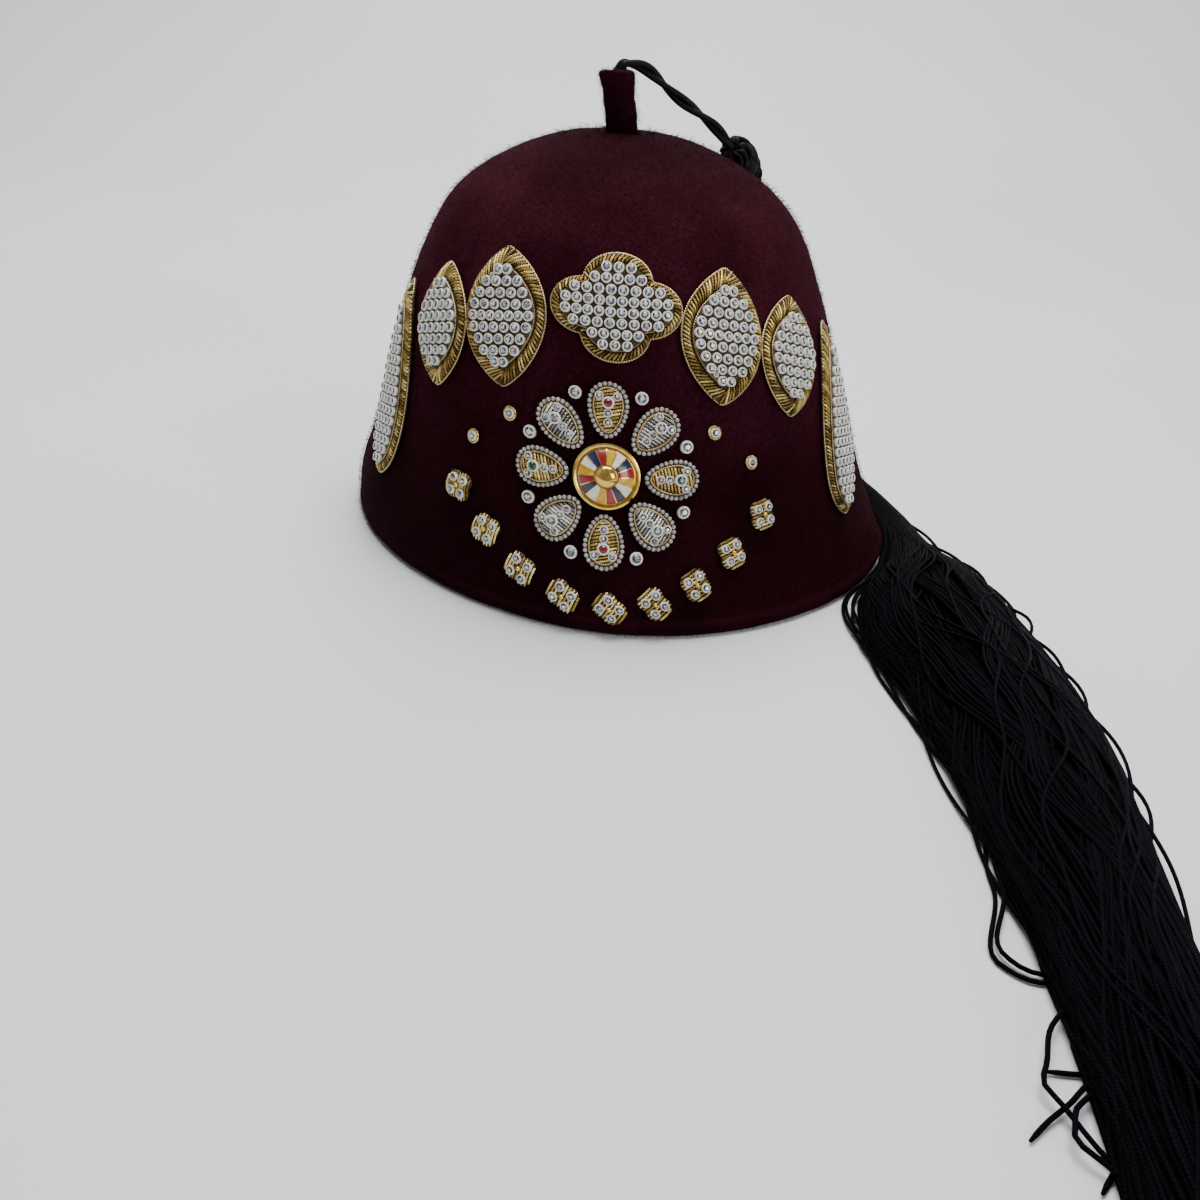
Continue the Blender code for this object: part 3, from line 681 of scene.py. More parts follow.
def laid(across, up, start=0.0, end=None):
    """Points in mm of a cord at these places in the section, from one length to another."""
    line = skirt_line + skirt_side * across[:, None] + skirt_rise * up[:, None]
    line[:, 2] = np.maximum(line[:, 2], STRAND)
    first = int(start / STEP)
    last = len(line) if end is None else int(np.clip(end / STEP, first + 4, len(line)))
    return line[first:last]


def softly_held(place):
    """Keep a place across the skirt between -1 and 1, slowing down near the edges."""
    return 0.97 * np.sin(np.clip(place, -1.3, 1.3) * pi / 2.6)


def top_at(place):
    """Height of the skirt's top layer at a place across it, from -1 to 1."""
    return (above - STRAND) * np.sqrt(1 - 0.97 * place ** 2)


strand_lines, strand_tones = [], []


def add_strand(across, up, end, tone, share=0.97):
    """Keep one cord: its line up to a length along the skirt, and its tone."""
    strand_lines.append(laid(*inside_skirt(across, up, share), end=end))
    strand_tones.append(tone)


print("the skirt is", round(float(2 * half_width.max())), "mm across at its widest")

# %% Locks inside, an even layer, ribbons and strays on top
LOCKS = 11
CORDS_IN_LOCK = 8
EVEN_CORDS = 58
RIBBONS = 15
CORDS_IN_RIBBON = 7
CORD_SPACING = 1.08     # between the cords of a ribbon
STRAYS = 9

lock_room = np.sqrt(half_width * (above + below) / LOCKS) * 0.66
order = chance.permutation(LOCKS)
for lock in range(LOCKS):
    place = softly_held(-0.95 + 1.9 * lock / (LOCKS - 1) + wave(0.24, 150, 240) + wave(0.08, 60, 95))
    layer = np.clip(0.24 + 0.46 * order[lock] / (LOCKS - 1) + wave(0.12, 110, 190), 0.12, 0.8)
    lock_up = (-below + (above + below) * layer) * np.sqrt(1 - place ** 2)
    lock_twist = 2 * pi * skirt_along / (chance.uniform(120, 200) * chance.choice([-1, 1]))
    lock_end = total - chance.uniform(0, 26)
    for n in range(CORDS_IN_LOCK):
        out = lock_room * sqrt((n + 0.5) / CORDS_IN_LOCK) * (1 + wave(0.22, 50, 90))
        angle = 2.4 * n + lock_twist + wave(0.5, 60, 110)
        across = place * half_width * 0.96 + out * np.cos(angle) + wave(0.5, 26, 44)
        up = lock_up + 0.62 * out * np.sin(angle) + wave(0.3, 22, 36)
        add_strand(across, up, lock_end - chance.uniform(0, 22), chance.uniform(0.1, 0.7))

for n in range(EVEN_CORDS):
    place = np.sin((-1 + 2 * (n + 0.5) / EVEN_CORDS) * pi / 2 * 0.97)
    place = np.clip(place + wave(0.06, 120, 200) + wave(0.03, 50, 80), -1, 1)
    up = top_at(place) * (chance.uniform(0.76, 0.84) + wave(0.02, 60, 90))
    add_strand(place * half_width, up, total - chance.uniform(0, 50), chance.uniform(0.1, 0.8), 0.98)

levels = chance.permutation(RIBBONS)
for ribbon in range(RIBBONS):
    swing = softly_held(-1.0 + 2.0 * ribbon / (RIBBONS - 1)
                        + wave(0.30, 140, 230) + wave(0.085, 58, 95))
    level = 0.85 + 0.15 * levels[ribbon] / (RIBBONS - 1)
    spacing = CORD_SPACING * (1 + wave(0.12, 60, 110))
    ribbon_end = total - chance.uniform(0, 34)
    for n in range(CORDS_IN_RIBBON):
        off = (n - (CORDS_IN_RIBBON - 1) / 2) * spacing + wave(0.30, 28, 50)
        place = np.clip(swing + off / half_width, -1.0, 1.0)
        up = top_at(place) * (level + wave(0.012, 30, 60))
        add_strand(place * half_width, up, ribbon_end - chance.uniform(0, 20),
                   chance.uniform(0.1, 0.9), 1.0)

for n in range(STRAYS):
    place = softly_held(chance.uniform(-0.8, 0.8) + wave(0.38, 130, 200) + wave(0.07, 44, 70))
    up = top_at(place) * chance.uniform(0.98, 1.02) + 0.3
    add_strand(place * half_width, up, total - chance.uniform(0, 60), chance.uniform(0.5, 1.0), 1.02)

mixed = chance.permutation(len(strand_lines))
for k, name in enumerate(("skirt_cords_one", "skirt_cords_two", "skirt_cords_three")):
    chosen = mixed[k::3]
    piece = swept(name, [strand_lines[i] for i in chosen], STRAND, sides=5, twist_mm=1.9,
                  tones=[strand_tones[i] for i in chosen])
    settle(piece, ["tassel_skirt"], satin_cord)
print("cords in the skirt:", len(strand_lines))

# %% [markdown]
# Between the cords nothing pale may shine through, because a real tassel is
# cords all the way down. A plain dark body fills the middle of the skirt. It is
# narrower and lower than the cords, so it never shows as a shape of its own.

# %% Dark middle of the skirt
CORE_SHARE = 0.74
CORE_SIDES = 14
CORE_OFF_TABLE = 0.25

inner = slice(0, len(skirt_line) - 20, 4)       # it stops short of the cords' ends
line, side, rise = [part[inner][:, None] for part in (skirt_line, skirt_side, skirt_rise)]
wide, over, under = [part[inner][:, None, None] for part in (half_width, above, below)]
a = angles(CORE_SIDES)[:, None]
rings = (line + side * wide * CORE_SHARE * np.cos(a)
         + rise * np.where(np.sin(a) > 0, over, under) * CORE_SHARE * np.sin(a))
rings[..., 2] = np.maximum(rings[..., 2], CORE_OFF_TABLE)
quads, ends = tube_faces(len(rings), CORE_SIDES)
skirt_middle = new_object("skirt_middle", rings.reshape(-1, 3) * MM,
                          np.concatenate([quads.reshape(-1), *ends]).astype(np.int32),
                          np.array([4] * len(quads) + [CORE_SIDES] * 2))
face_outwards(skirt_middle)
smooth(skirt_middle, 60)
settle(skirt_middle, ["tassel_skirt"], satin_cord)

# %% [markdown]
# A few cords have slipped out of the bundle and lie loose on the table beside
# its front edge. Each is a short line drawn on the table, with its end cut off
# square as scissors left it. Others bow out of the bundle's edges, and five come
# round the hat close to its rim.

# %% Loose cords on the table
LOOSE_LINES = [         # x, y on the table
    [(97, -158), (90, -178), (86, -193), (85, -205), (80, -221), (83, -227), (88, -229),
     (95, -227), (101, -222)],
    [(98, -160), (91, -181), (87.4, -194), (86.6, -205), (81.6, -219), (84, -225), (89, -227),
     (96, -225), (102, -220)],
    [(101, -216), (93, -230), (92, -234), (85, -243), (82, -251), (80, -256), (82, -260),
     (87, -270), (92, -274), (98, -277)],
    [(101, -247), (92, -251), (82, -251.5)],
    [(75, -267), (79, -263), (84, -259), (89, -254), (98, -248)],
    [(97, -249), (85, -260), (83, -264), (82, -268), (86, -272), (90, -276), (98, -281)],
    [(84, -276), (88, -271), (93, -266), (100, -257)],
    [(97, -254), (90, -259), (89, -263), (91, -265), (98, -268)],
]
# Cords that bow out of an edge: -1 left or 1 right, how far along, length, how far out, how high.
EDGE_CORDS = [
    (-1, 192, 96, 0.5, 1.4), (-1, 204, 118, 0.9, 0.5), (-1, 214, 96, 1.7, 0.6),
    (-1, 230, 130, 0.5, 2.2), (-1, 252, 150, 1.4, 0.5), (-1, 262, 124, 2.9, 0.5),
    (-1, 268, 112, 3.6, 0.5), (-1, 282, 150, 0.8, 1.2), (-1, 318, 120, 1.6, 0.5),
    (-1, 330, 150, 0.7, 0.6), (-1, 362, 130, 1.5, 0.5), (-1, 396, 104, 0.9, 0.6),
    (1, 216, 48, 0.5, 4.0), (1, 232, 50, 1.3, 5.2), (1, 240, 44, 0.7, 6.0), (1, 258, 60, 0.6, 4.6),
    (1, 274, 48, 1.4, 5.4), (1, 302, 70, 0.7, 5.0), (1, 318, 54, 1.5, 4.4), (1, 350, 76, 0.7, 5.6),
    (1, 372, 54, 1.3, 4.8), (1, 396, 90, 0.8, 5.0),
    (-1, 166, 60, 0.8, 1.0), (-1, 172, 66, 1.2, 0.6), (-1, 178, 70, 0.6, 2.6), (-1, 184, 60, 1.1, 1.6),
]
# Cords that come round the rim: distance off it, azimuth where they leave it, x, y after that.
RIM_CORDS = [
    (0.95, 63, (79.5, -59), (76.5, -73)), (2.0, 66, (82.0, -57), (79.0, -73)),
    (3.05, 69, (84.5, -55), (81.5, -73)), (4.1, 72, (87.0, -53), (84.5, -73)),
    (5.15, 75, (89.5, -51), (87.5, -73)),
]
RIM_CORDS_FROM = 96     # azimuth where they come out from under the skirt
WIDEST = 3.5            # height at which the rolled rim is widest
ON_TABLE = STRAND + 0.05
LOOSE_STEP = 2.2

loose = []
for n, points in enumerate(LOOSE_LINES):
    line = curve_through([(x, y, 0) for x, y in points], LOOSE_STEP)
    line[:, 2] = ON_TABLE + 1.1 * (n % 3) * np.sin(pi * np.linspace(0, 1, len(line))) ** 2
    loose.append(line)
for edge, middle, length, out, high in EDGE_CORDS:
    bow = np.cos(pi * np.clip(2 * (skirt_along - middle) / length, -1, 1) / 2) ** 2
    across = edge * (half_width * (0.80 + 0.2 * bow) + out * bow)
    up = above * 0.30 * (1 - bow) + high * bow
    loose.append(laid(across, up, middle - 0.62 * length, middle + 0.62 * length))
for off, last, *leaving in RIM_CORDS:
    round_rim = crown_point(np.linspace(RIM_CORDS_FROM, last, 5), WIDEST, off)
    line = curve_through([*round_rim] + [(x, y, 0) for x, y in leaving], LOOSE_STEP)
    line[:, 2] = ON_TABLE
    loose.append(line)
loose_cords = swept("loose_cords", loose, STRAND, twist_mm=1.9, tones=[0.55] * len(loose))
settle(loose_cords, ["tassel_skirt"], satin_cord)

# %% [markdown]
# ## Wool felt
#
# A fez is made of wool felt: fibres of many reds, matted together, stiffened and
# brushed. Close up the colour is not even. Dark and light fibres lie across each
# other, broad patches took the dye differently, and the nap catches a little
# light at grazing angles, which is what sheen does. The dye is painted lighter
# partway up the crown and darker towards the rim and at the top, as painted light
# and shade. The upper crown is pricked with tiny holes, drawn as spots of painted
# shade, a few specks of lint have settled on the nap, and a painted highlight
# runs along the fold of the rolled rim. The fibres are really a few hundredths of
# a millimetre thick, and are drawn coarser here, so that they show.

# %% Felt finish
DYES = [(0.45, "#160409"), (0.62, "#270912"), (0.74, "#330e1a"), (0.95, "#48202c")]
# What the dye is multiplied by at each height, from the table at 0 to 150 mm at 1: painted light and
# shade, darker near the rim and at the top, brightest about 80 mm up.
PAINTED_SHADE_BY_HEIGHT = [(0.08, "#9c8b8e"), (0.28, "#ae9ea1"), (0.55, "#fff6f8"), (0.74, "#ecdfe2"),
          (0.86, "#a8999d"), (0.91, "#c2b4b8")]


def felt_finish():
    material, add, shader, place = new_finish(
        "maroon_wool_felt", Roughness=0.95, Sheen_Weight=0.05, Sheen_Roughness=0.5,
        Sheen_Tint=linear("#80182f"), Specular_IOR_Level=0.03, IOR=1.5)
    height = add("SeparateXYZ", i0=place).outputs["Z"]
    fibres = add("TexNoise", Vector=place, Scale=per_mm(0.9), Detail=5.0, Roughness=0.75,
                 Distortion=1.2)
    patches = add("TexNoise", Vector=place, Scale=per_mm(30), Detail=3.0)
    shade = add("Math", {"operation": "MULTIPLY_ADD"}, i0=patches, i1=0.45, i2=fibres)
    # Painted light and shade: the dye is darkened by height, least about 80 mm up.
    painted_height_shade = add("ValToRGB", stops=PAINTED_SHADE_BY_HEIGHT, i0=add("MapRange", i0=height, i1=0.0, i2=0.15))
    dye_with_painted_shade = add("Mix", {"data_type": "RGBA", "blend_type": "MULTIPLY"}, i0=1.0,
                  i6=add("ValToRGB", stops=DYES, i0=shade), i7=painted_height_shade)
    soft_step = {"interpolation_type": "SMOOTHSTEP"}
    # A painted highlight: a faint lighter band about 4 to 5 mm up, along the fold of the rolled rim.
    fold = add("MapRange", soft_step, i0=height, i1=0.0030, i2=0.0042)
    above_fold = add("MapRange", soft_step, i0=height, i1=0.0046, i2=0.0058, i3=0.07, i4=0.0)
    painted_fold_highlight = add("Math", {"operation": "MULTIPLY"}, i0=fold, i1=above_fold)
    # The pinholes are not modelled: they are painted near black on the upper crown, as painted shade.
    pits = add("TexVoronoi", Vector=place, Scale=per_mm(4.3), Randomness=1.0)
    pit_size = add("MapRange", i0=height, i1=0.088, i2=0.108, i3=0.0, i4=0.100)
    painted_pit_shade = add("Math", {"operation": "LESS_THAN"}, i0=pits, i1=pit_size)
    lint = add("TexVoronoi", Vector=place, Scale=per_mm(24), Randomness=1.0)
    speck = add("Math", {"operation": "LESS_THAN"}, i0=lint, i1=0.017)
    colour = dye_with_painted_shade.outputs[2]
    # Mixed over the dye: the painted fold highlight, the pits' painted shade and specks of lint.
    for share, over in ((painted_fold_highlight, "#5a2232"), (painted_pit_shade, "#040102"), (speck, "#77606a")):
        colour = add("Mix", {"data_type": "RGBA"}, i0=share, i6=colour, i7=linear(over)).outputs[2]
    relief = add("Bump", Strength=0.8, Distance=0.45 * MM, Height=fibres)
    connect(shader, Base_Color=colour, Normal=relief)
    return material


wool_felt = felt_finish()
print("felt finish:", wool_felt.name)

# %% [markdown]
# The crown is a merged copy of the CAD wall, rounded by two levels of
# subdivision. Blocked felt is never quite even, so a displacement of a few
# tenths of a millimetre roughens it, in broad soft cushions first and then in
# the short grain that shows along its silhouette.

# %% Felt crown
FELT_SHARP = 80         # felt has no edge sharper than this many degrees


def felted(thing, levels, *clouds):
    """Round a piece, and push its surface in and out by clouds of this size and depth in mm."""
    apply_modifier(thing, "SUBSURF", levels=levels, render_levels=levels)
    for size, depth in clouds:
        cloud = bpy.data.textures.new("felt_cloud", "CLOUDS")
        cloud.noise_scale, cloud.noise_depth = size * MM, 2
        apply_modifier(thing, "DISPLACE", texture=cloud, texture_coords="LOCAL",
                       strength=depth * MM, mid_level=0.5)


felt_crown = copy_of("felt_crown", "felt_wall")
felted(felt_crown, 2, (14.0, 0.5), (2.2, 0.25))
for vertex in felt_crown.data.vertices:
    vertex.co.z = max(vertex.co.z, 0.0)     # nothing is pushed below the table
smooth(felt_crown, FELT_SHARP)
settle(felt_crown, ["felt_crown"], wool_felt)

# %% [markdown]
# The stem is a stub of the same felt, rolled up and sewn through the crown. It
# gets the same treatment, only rounder, because it is small and handled often.
# Its foot goes down into the crown, and its top is cut a little aslant, so that
# the cord comes out of the roll and lies over its edge.

# %% Felt stem
FOOT_BAND = 1.2         # of the stem's height, sunk into the crown
SEWN_DEPTH = 2.4
TOP_BAND = 3.0          # of its height, cut aslant
TOP_RAISED = 0.3
TOP_SLANT = 0.10
STEM_TOP_X = -15.2

felt_stem = copy_of("crown_stem", "felt_stub")
heights = [vertex.co.z for vertex in felt_stem.data.vertices]
foot, top = min(heights) + FOOT_BAND * MM, max(heights) - TOP_BAND * MM
for vertex in felt_stem.data.vertices:
    if vertex.co.z < foot:
        vertex.co.z -= SEWN_DEPTH * MM
    elif vertex.co.z > top:
        vertex.co.z += TOP_RAISED * MM + TOP_SLANT * (vertex.co.x - STEM_TOP_X * MM)
felted(felt_stem, 3, (4.0, 0.7), (1.6, 0.35))
smooth(felt_stem, FELT_SHARP)
settle(felt_stem, ["crown_stem"], wool_felt)

# %% [markdown]
# Brushed felt has a nap: short fibre ends that stand off the surface and blur
# the hat's outline. Real ones number in the millions. About forty thousand are
# enough to soften the silhouette and to break up the light. Most lie down, some
# stand up, and each of those is a closed sliver of four triangles. A few thousand
# longer ones curl over, as they do on a hat that has been handled. All lean with
# the brushing, downwards and to one side. On the crown their roots come from the
# crown's own rows, and on the stem they are scattered over its triangles by area.
# A real fibre is a few hundredths of a millimetre thick, and these are drawn
# coarser, so that they show.

# %% Where fibres stand, and how they lean
ROOT_DEPTH = 0.12       # how far a fibre starts below the surface
TIP_OFF_TABLE = 0.05
CURL_OFF_TABLE = 0.12
LYING = (20000, 1400)   # fibres on the crown and on the stem, of three kinds
STANDING = (12000, 500)
CURLED = (3800, 200)


def nap(name, roots, out, along, lengths, width, lift):
    """Closed slivers in mm: a small triangle sunk in the felt, and a tip lifted by this angle."""
    side = np.cross(along, out)
    tips = roots + (along * cos(lift) + out * sin(lift)) * lengths[:, None]
    tips[:, 2] = np.maximum(tips[:, 2], TIP_OFF_TABLE)
    base = [roots + (side * cos(a) + out * sin(a)) * width
            for a in (0.5, 0.5 + 2 * pi / 3, 0.5 + 4 * pi / 3)]
    start = np.arange(len(roots), dtype=np.int32)[:, None] * 4
    corners = (start + np.array([0, 1, 2, 0, 3, 1, 1, 3, 2, 2, 3, 0])).reshape(-1)
    points = np.stack(base + [tips], 1).reshape(-1, 3) * MM
    return new_object(name, points, corners, np.full(len(corners) // 3, 3))


def brushed_along(out):
    """Directions along the surface: downwards, each turned by its own angle."""
    down = np.array([0, 0, -1.0]) + out * out[:, 2:]
    down /= np.maximum(np.linalg.norm(down, axis=1), 1e-6)[:, None]
    lean = chance.normal(0.35, 0.9, len(out))[:, None]
    return down * np.cos(lean) + np.cross(down, out) * np.sin(lean)


def roots_on(thing, count):
    """Points in mm scattered evenly over a piece, and the directions out of it."""
    thing.data.calc_loop_triangles()
    corners = np.array([[thing.data.vertices[i].co[:] for i in t.vertices]
                        for t in thing.data.loop_triangles]) / MM
    out = np.cross(corners[:, 1] - corners[:, 0], corners[:, 2] - corners[:, 0])
    area = np.linalg.norm(out, axis=1)
    chosen = chance.choice(len(area), count, p=area / area.sum())
    u, v = np.sort(chance.random((2, count, 1)), axis=0)
    a, b, c = corners[chosen].transpose(1, 0, 2)
    out = out[chosen] / area[chosen][:, None]
    return a * u + b * (v - u) + c * (1 - v) - ROOT_DEPTH * out, out


def roots_on_felt(on_crown_count, on_stem_count):
    """Roots in mm on the crown and the stem, the directions out of the felt and along it."""
    girth = FINE_ROWS[1:, 1] * np.linalg.norm(np.diff(FINE_ROWS[:, :2], axis=0), axis=1)
    levels = np.interp(chance.random(on_crown_count), np.cumsum(girth) / girth.sum(), FINE_ROWS[1:, 0])
    levels = np.clip(levels, 0.8, 128.6)
    angles = chance.uniform(-180, 180, on_crown_count)
    roots = crown_point(angles, levels, -ROOT_DEPTH)
    out = crown_point(angles, levels, 1 - ROOT_DEPTH) - roots
    stem_roots, stem_out = roots_on(felt_stem, on_stem_count)
    roots, out = np.vstack([roots, stem_roots]), np.vstack([out, stem_out])
    return roots, out, brushed_along(out)


def spread(count, shortest, more):
    """Random lengths in mm, most of them near the shortest."""
    return shortest + more * chance.random(count) ** 2


def shorter_below(roots):
    """Share of a fibre's full length: the lower half of the wall is brushed closer."""
    return np.interp(roots[:, 2], [30, 105], [0.5, 1.0])


print("fibre length near the rim:", shorter_below(np.array([[0.0, 0.0, 20.0]]))[0], "of the full")

# %% [markdown]
# The three kinds are made one after another and joined. They are in the wall's
# own felt, so each fibre takes the colour of the place where it stands.

# %% Lying, standing and curled fibres
roots, out, along = roots_on_felt(*LYING)
lying = nap("lying_nap", roots, out, along, spread(len(out), 0.6, 1.5), 0.075, 0.66)
roots, out, along = roots_on_felt(*STANDING)
lengths = shorter_below(roots) * spread(len(out), 1.0, 1.2)
standing = nap("standing_nap", roots, out, along, lengths, 0.065, 1.0)
roots, out, along = roots_on_felt(*CURLED)
reach = (shorter_below(roots) * spread(len(out), 1.2, 2.2))[:, None]
bent = roots + reach * (0.46 * out + 0.22 * along)
tips = bent + reach * (0.20 * out + 0.44 * along + chance.normal(0, 0.12, out.shape))
fibres = np.stack([roots, bent, tips], 1)
fibres[..., 2] = np.maximum(fibres[..., 2], CURL_OFF_TABLE)
curled = swept("curled_nap", list(fibres), [[0.070, 0.055, 0.040]] * len(out), sides=3)
felt_nap = joined("felt_nap", [lying, standing, curled])
settle(felt_nap, (), wool_felt)
print("nap fibres:", sum(LYING) + sum(STANDING) + sum(CURLED))

# %% [markdown]
# ## Embroidery, made flat
#
# An embroiderer works on a flat frame and sews the finished pieces to the hat.
# We do the same. Every motif is modelled flat, in millimetres, with Z as its
# height above the felt. Then one function carries each of its points onto the
# crown. It turns the motif to its place, so a leaf can lean outwards.

# %% Sew a flat motif to the felt
GAP = 0.35              # the motif's back stands this far off the felt


def points_of(thing):
    """Every point of a mesh, one row each."""
    points = np.empty(len(thing.data.vertices) * 3)
    thing.data.vertices.foreach_get("co", points)
    return points.reshape(-1, 3)


def move_points(thing, points):
    thing.data.vertices.foreach_set("co", points.reshape(-1))
    thing.data.update()


def on_crown(place, across, along, off):
    """Points in mm of a flat design laid on the felt round place (azimuth, height, turn)."""
    azimuth, height, turn = place
    c, s = cos(radians(turn)), sin(radians(turn))
    right, upward = across * c - along * s, across * s + along * c
    rise = np.linalg.norm(crown_point(azimuth, height + 1) - crown_point(azimuth, height - 1))
    level = height + upward * 2 / rise
    side = np.linalg.norm(crown_point(azimuth + 0.5, level) - crown_point(azimuth - 0.5, level),
                          axis=-1)
    return crown_point(azimuth + np.degrees(right / (side / radians(1))), level, off)


def sew(flat, place, lift=GAP):
    """Move a flat motif's points onto the crown and into metres."""
    x, y, z = points_of(flat).T
    move_points(flat, on_crown(place, x, y, z + lift) * MM)


print("1 mm off the front, at 50 mm:", on_crown((0, 50, 0), 0.0, 0.0, 1.0).round(1))

# %% [markdown]
# What repeats is modelled once and stamped many times: a coil of bullion, a
# stone in its ring, a seed bead. The stamp copies the model's points, faces,
# finishes and UV map to each place, turned and sized as asked. Every copy also
# carries a tone, a number that its material may read to vary the colour. A coil
# is cut to length but stays as thick as it was, so it is only sized along X.

# %% Stamp copies of one model
def stamped(name, model, spots, only_length=False):
    """Copies of a flat model; each spot is x, y, z, turn in radians, size, tone."""
    x, y, z, turn, size, tone = np.asarray(spots, float).T[..., None]
    mesh = model.data
    read = {}
    for key, group in (("vertex_index", mesh.loops), ("loop_total", mesh.polygons),
                       ("material_index", mesh.polygons), ("use_smooth", mesh.polygons)):
        read[key] = np.empty(len(group), bool if key == "use_smooth" else np.int32)
        group.foreach_get(key, read[key])
    uv = np.zeros(len(mesh.loops) * 2)
    if mesh.uv_layers:
        mesh.uv_layers[0].data.foreach_get("uv", uv)
    co = points_of(model)
    c, s = np.cos(turn), np.sin(turn)
    long = co[:, 0] * size
    if only_length:
        size = np.ones_like(size)
    points = np.stack([x + long * c - co[:, 1] * size * s, y + long * s + co[:, 1] * size * c,
                       z + co[:, 2] * size], -1).reshape(-1, 3)
    step = np.arange(len(x), dtype=np.int32)[:, None] * len(co)
    made = new_object(name, points, (read["vertex_index"] + step).reshape(-1),
                      np.tile(read["loop_total"], len(x)), np.tile(uv, len(x)),
                      np.repeat(tone, len(co)))
    for key in ("material_index", "use_smooth"):
        made.data.polygons.foreach_set(key, np.tile(read[key], len(x)))
    for material in mesh.materials:
        made.data.materials.append(material)
    return made


print("a spot is given as x, y, z, turn, size and tone")

# %% [markdown]
# ## Finishes for the embroidery
#
# Gold bullion is a fine brass-coloured wire wound into a spring, then cut and
# sewn down like a bead. It is metal, so it takes its colour from its reflections:
# warm yellow where it faces a light and deep brown between the turns. The fine
# winding is drawn along each coil on its UV map. Silver bullion is the same wire,
# plated white. The boss and the small beads are smooth plated metal, whose gloss
# is broken up by faint smears. The felt under the coils and stones is a dull gold,
# kept dark enough to stand for the shade between them: partly its own colour,
# partly painted shade.

# %% Bullion, smooth metal and backing finishes
def bullion_finish(name, dark, middle, bright, bands=1):
    return twisted_finish(name, [(0.25, dark), (0.6, middle), (1.0, bright)], bands, 0.10, 2.5, 0.6,
                          (0.18, 0.34), Metallic=1.0)


def clouded_finish(name, spot_mm, detail, stops, rough=None, relief_mm=None, **sockets):
    """A colour that drifts between stops in spots of this size, and its gloss or relief too."""
    material, add, shader, place = new_finish(name, **sockets)
    cloud = add("TexNoise", Vector=place, Scale=per_mm(spot_mm), Detail=detail)
    connect(shader, Base_Color=add("ValToRGB", stops=stops, i0=cloud))
    if rough:
        connect(shader, Roughness=add("MapRange", i0=cloud, i1=0.3, i2=0.7, i3=rough[0], i4=rough[1]))
    if relief_mm:
        connect(shader, Normal=add("Bump", Distance=relief_mm * MM, Height=cloud))
    return material


gold_bullion = bullion_finish("gilt_wire_bullion", "#433017", "#a28647", "#e8d38e")
gold_edging = bullion_finish("gilt_twisted_cord", "#4d3c20", "#9a8052", "#d6c090", 2)
silver_bullion = bullion_finish("silver_wire_bullion", "#3e3d3b", "#92908c", "#ebe9e4")
gilt_metal = clouded_finish("polished_gilt_metal", 1.6, 4.0, [(0.25, "#d2a73e"), (0.8, "#f0d27e")],
                            rough=(0.096, 0.256), Metallic=1.0)
# Kept dark: partly the felt's own colour, partly painted shade between the coils and stones.
backing_with_painted_shade = clouded_finish("dull_gold_backing_painted_shade", 0.6, 3.0, [(0.3, "#241a0c"), (0.7, "#4a3b20")],
                         relief_mm=0.2, Roughness=0.9, Sheen_Weight=0.2)
print("metals:", [m.name for m in (gold_bullion, gold_edging, silver_bullion, gilt_metal)])

# %% [markdown]
# The stones are cut glass with a thin coating that splits light, which jewellers
# call an aurora finish. Their light and dark is painted: most facets are painted
# dark and a few pale, as painted reflections, tinted blue, grey-green, rose or
# pale yellow, and the flat table in the middle is painted mostly near white, as a
# painted glint. Every stone takes its own tint from its tone, and every facet its
# own step from the number on its UV map, so that neighbours differ sharply, as
# cut faces do. The red and green stones get painted lighter and darker facets of
# their own colour in the same way. The rings are a milky clear resin, moulded
# round each stone. Enamel is a thin layer of coloured glass, a little uneven in
# depth, and a seed pearl is much the same.

# %% Stone, ring and enamel finishes
def cut_glass(name, *tints):
    """Coated glass whose facets are painted light and dark: each stone and each facet starts at its own
    place in the run of tints.
    """
    material, add, shader, place = new_finish(name, Roughness=0.08, Metallic=0.12, Coat_Weight=0.5,
                                              Coat_Roughness=0.03, IOR=1.54)
    facet = add("SeparateXYZ", Vector=add("UVMap", {"uv_map": "twist"}))
    tone = add("Attribute", {"attribute_name": "tone"}).outputs["Fac"]
    glints = add("TexNoise", Vector=place, Scale=per_mm(0.6), Detail=1.0)
    step = add("Math", {"operation": "ADD"}, i0=facet, i1=tone)
    shade = add("Math", {"operation": "MULTIPLY_ADD"}, i0=glints, i1=0.5, i2=step)
    spread_out = add("Math", {"operation": "FRACT"}, i0=shade)
    connect(shader, Base_Color=add("ValToRGB", stops=tints, i0=spread_out))
    return material


def enamel(name, hex_colour, deeper, roughness=0.22):
    return clouded_finish(name, 1.2, 2.0, [(0.3, deeper), (0.7, hex_colour)], Roughness=roughness,
                          Coat_Weight=0.4, Coat_Roughness=0.08, IOR=1.5)


# Painted reflections on the facets, mostly dark with a few pale. A painted glint on the table, mostly
# near white.
aurora_painted_reflections = cut_glass(
    "aurora_facets_painted_reflections", (0.0, "#100f14"), (0.14, "#2a3150"), (0.28, "#98968f"), (0.40, "#1a2b25"),
    (0.52, "#3a302a"), (0.64, "#c4c0b7"), (0.74, "#2d1f2b"), (0.86, "#4c655c"), (1.0, "#100f14"))
aurora_painted_glint = cut_glass(
    "aurora_table_painted_glint", (0.0, "#fffdf8"), (0.14, "#b3bfe6"), (0.27, "#4b5686"), (0.40, "#f3f1ea"),
    (0.53, "#83aa9b"), (0.66, "#f8eed2"), (0.78, "#c8a6b8"), (0.90, "#413f43"), (1.0, "#fffdf8"))
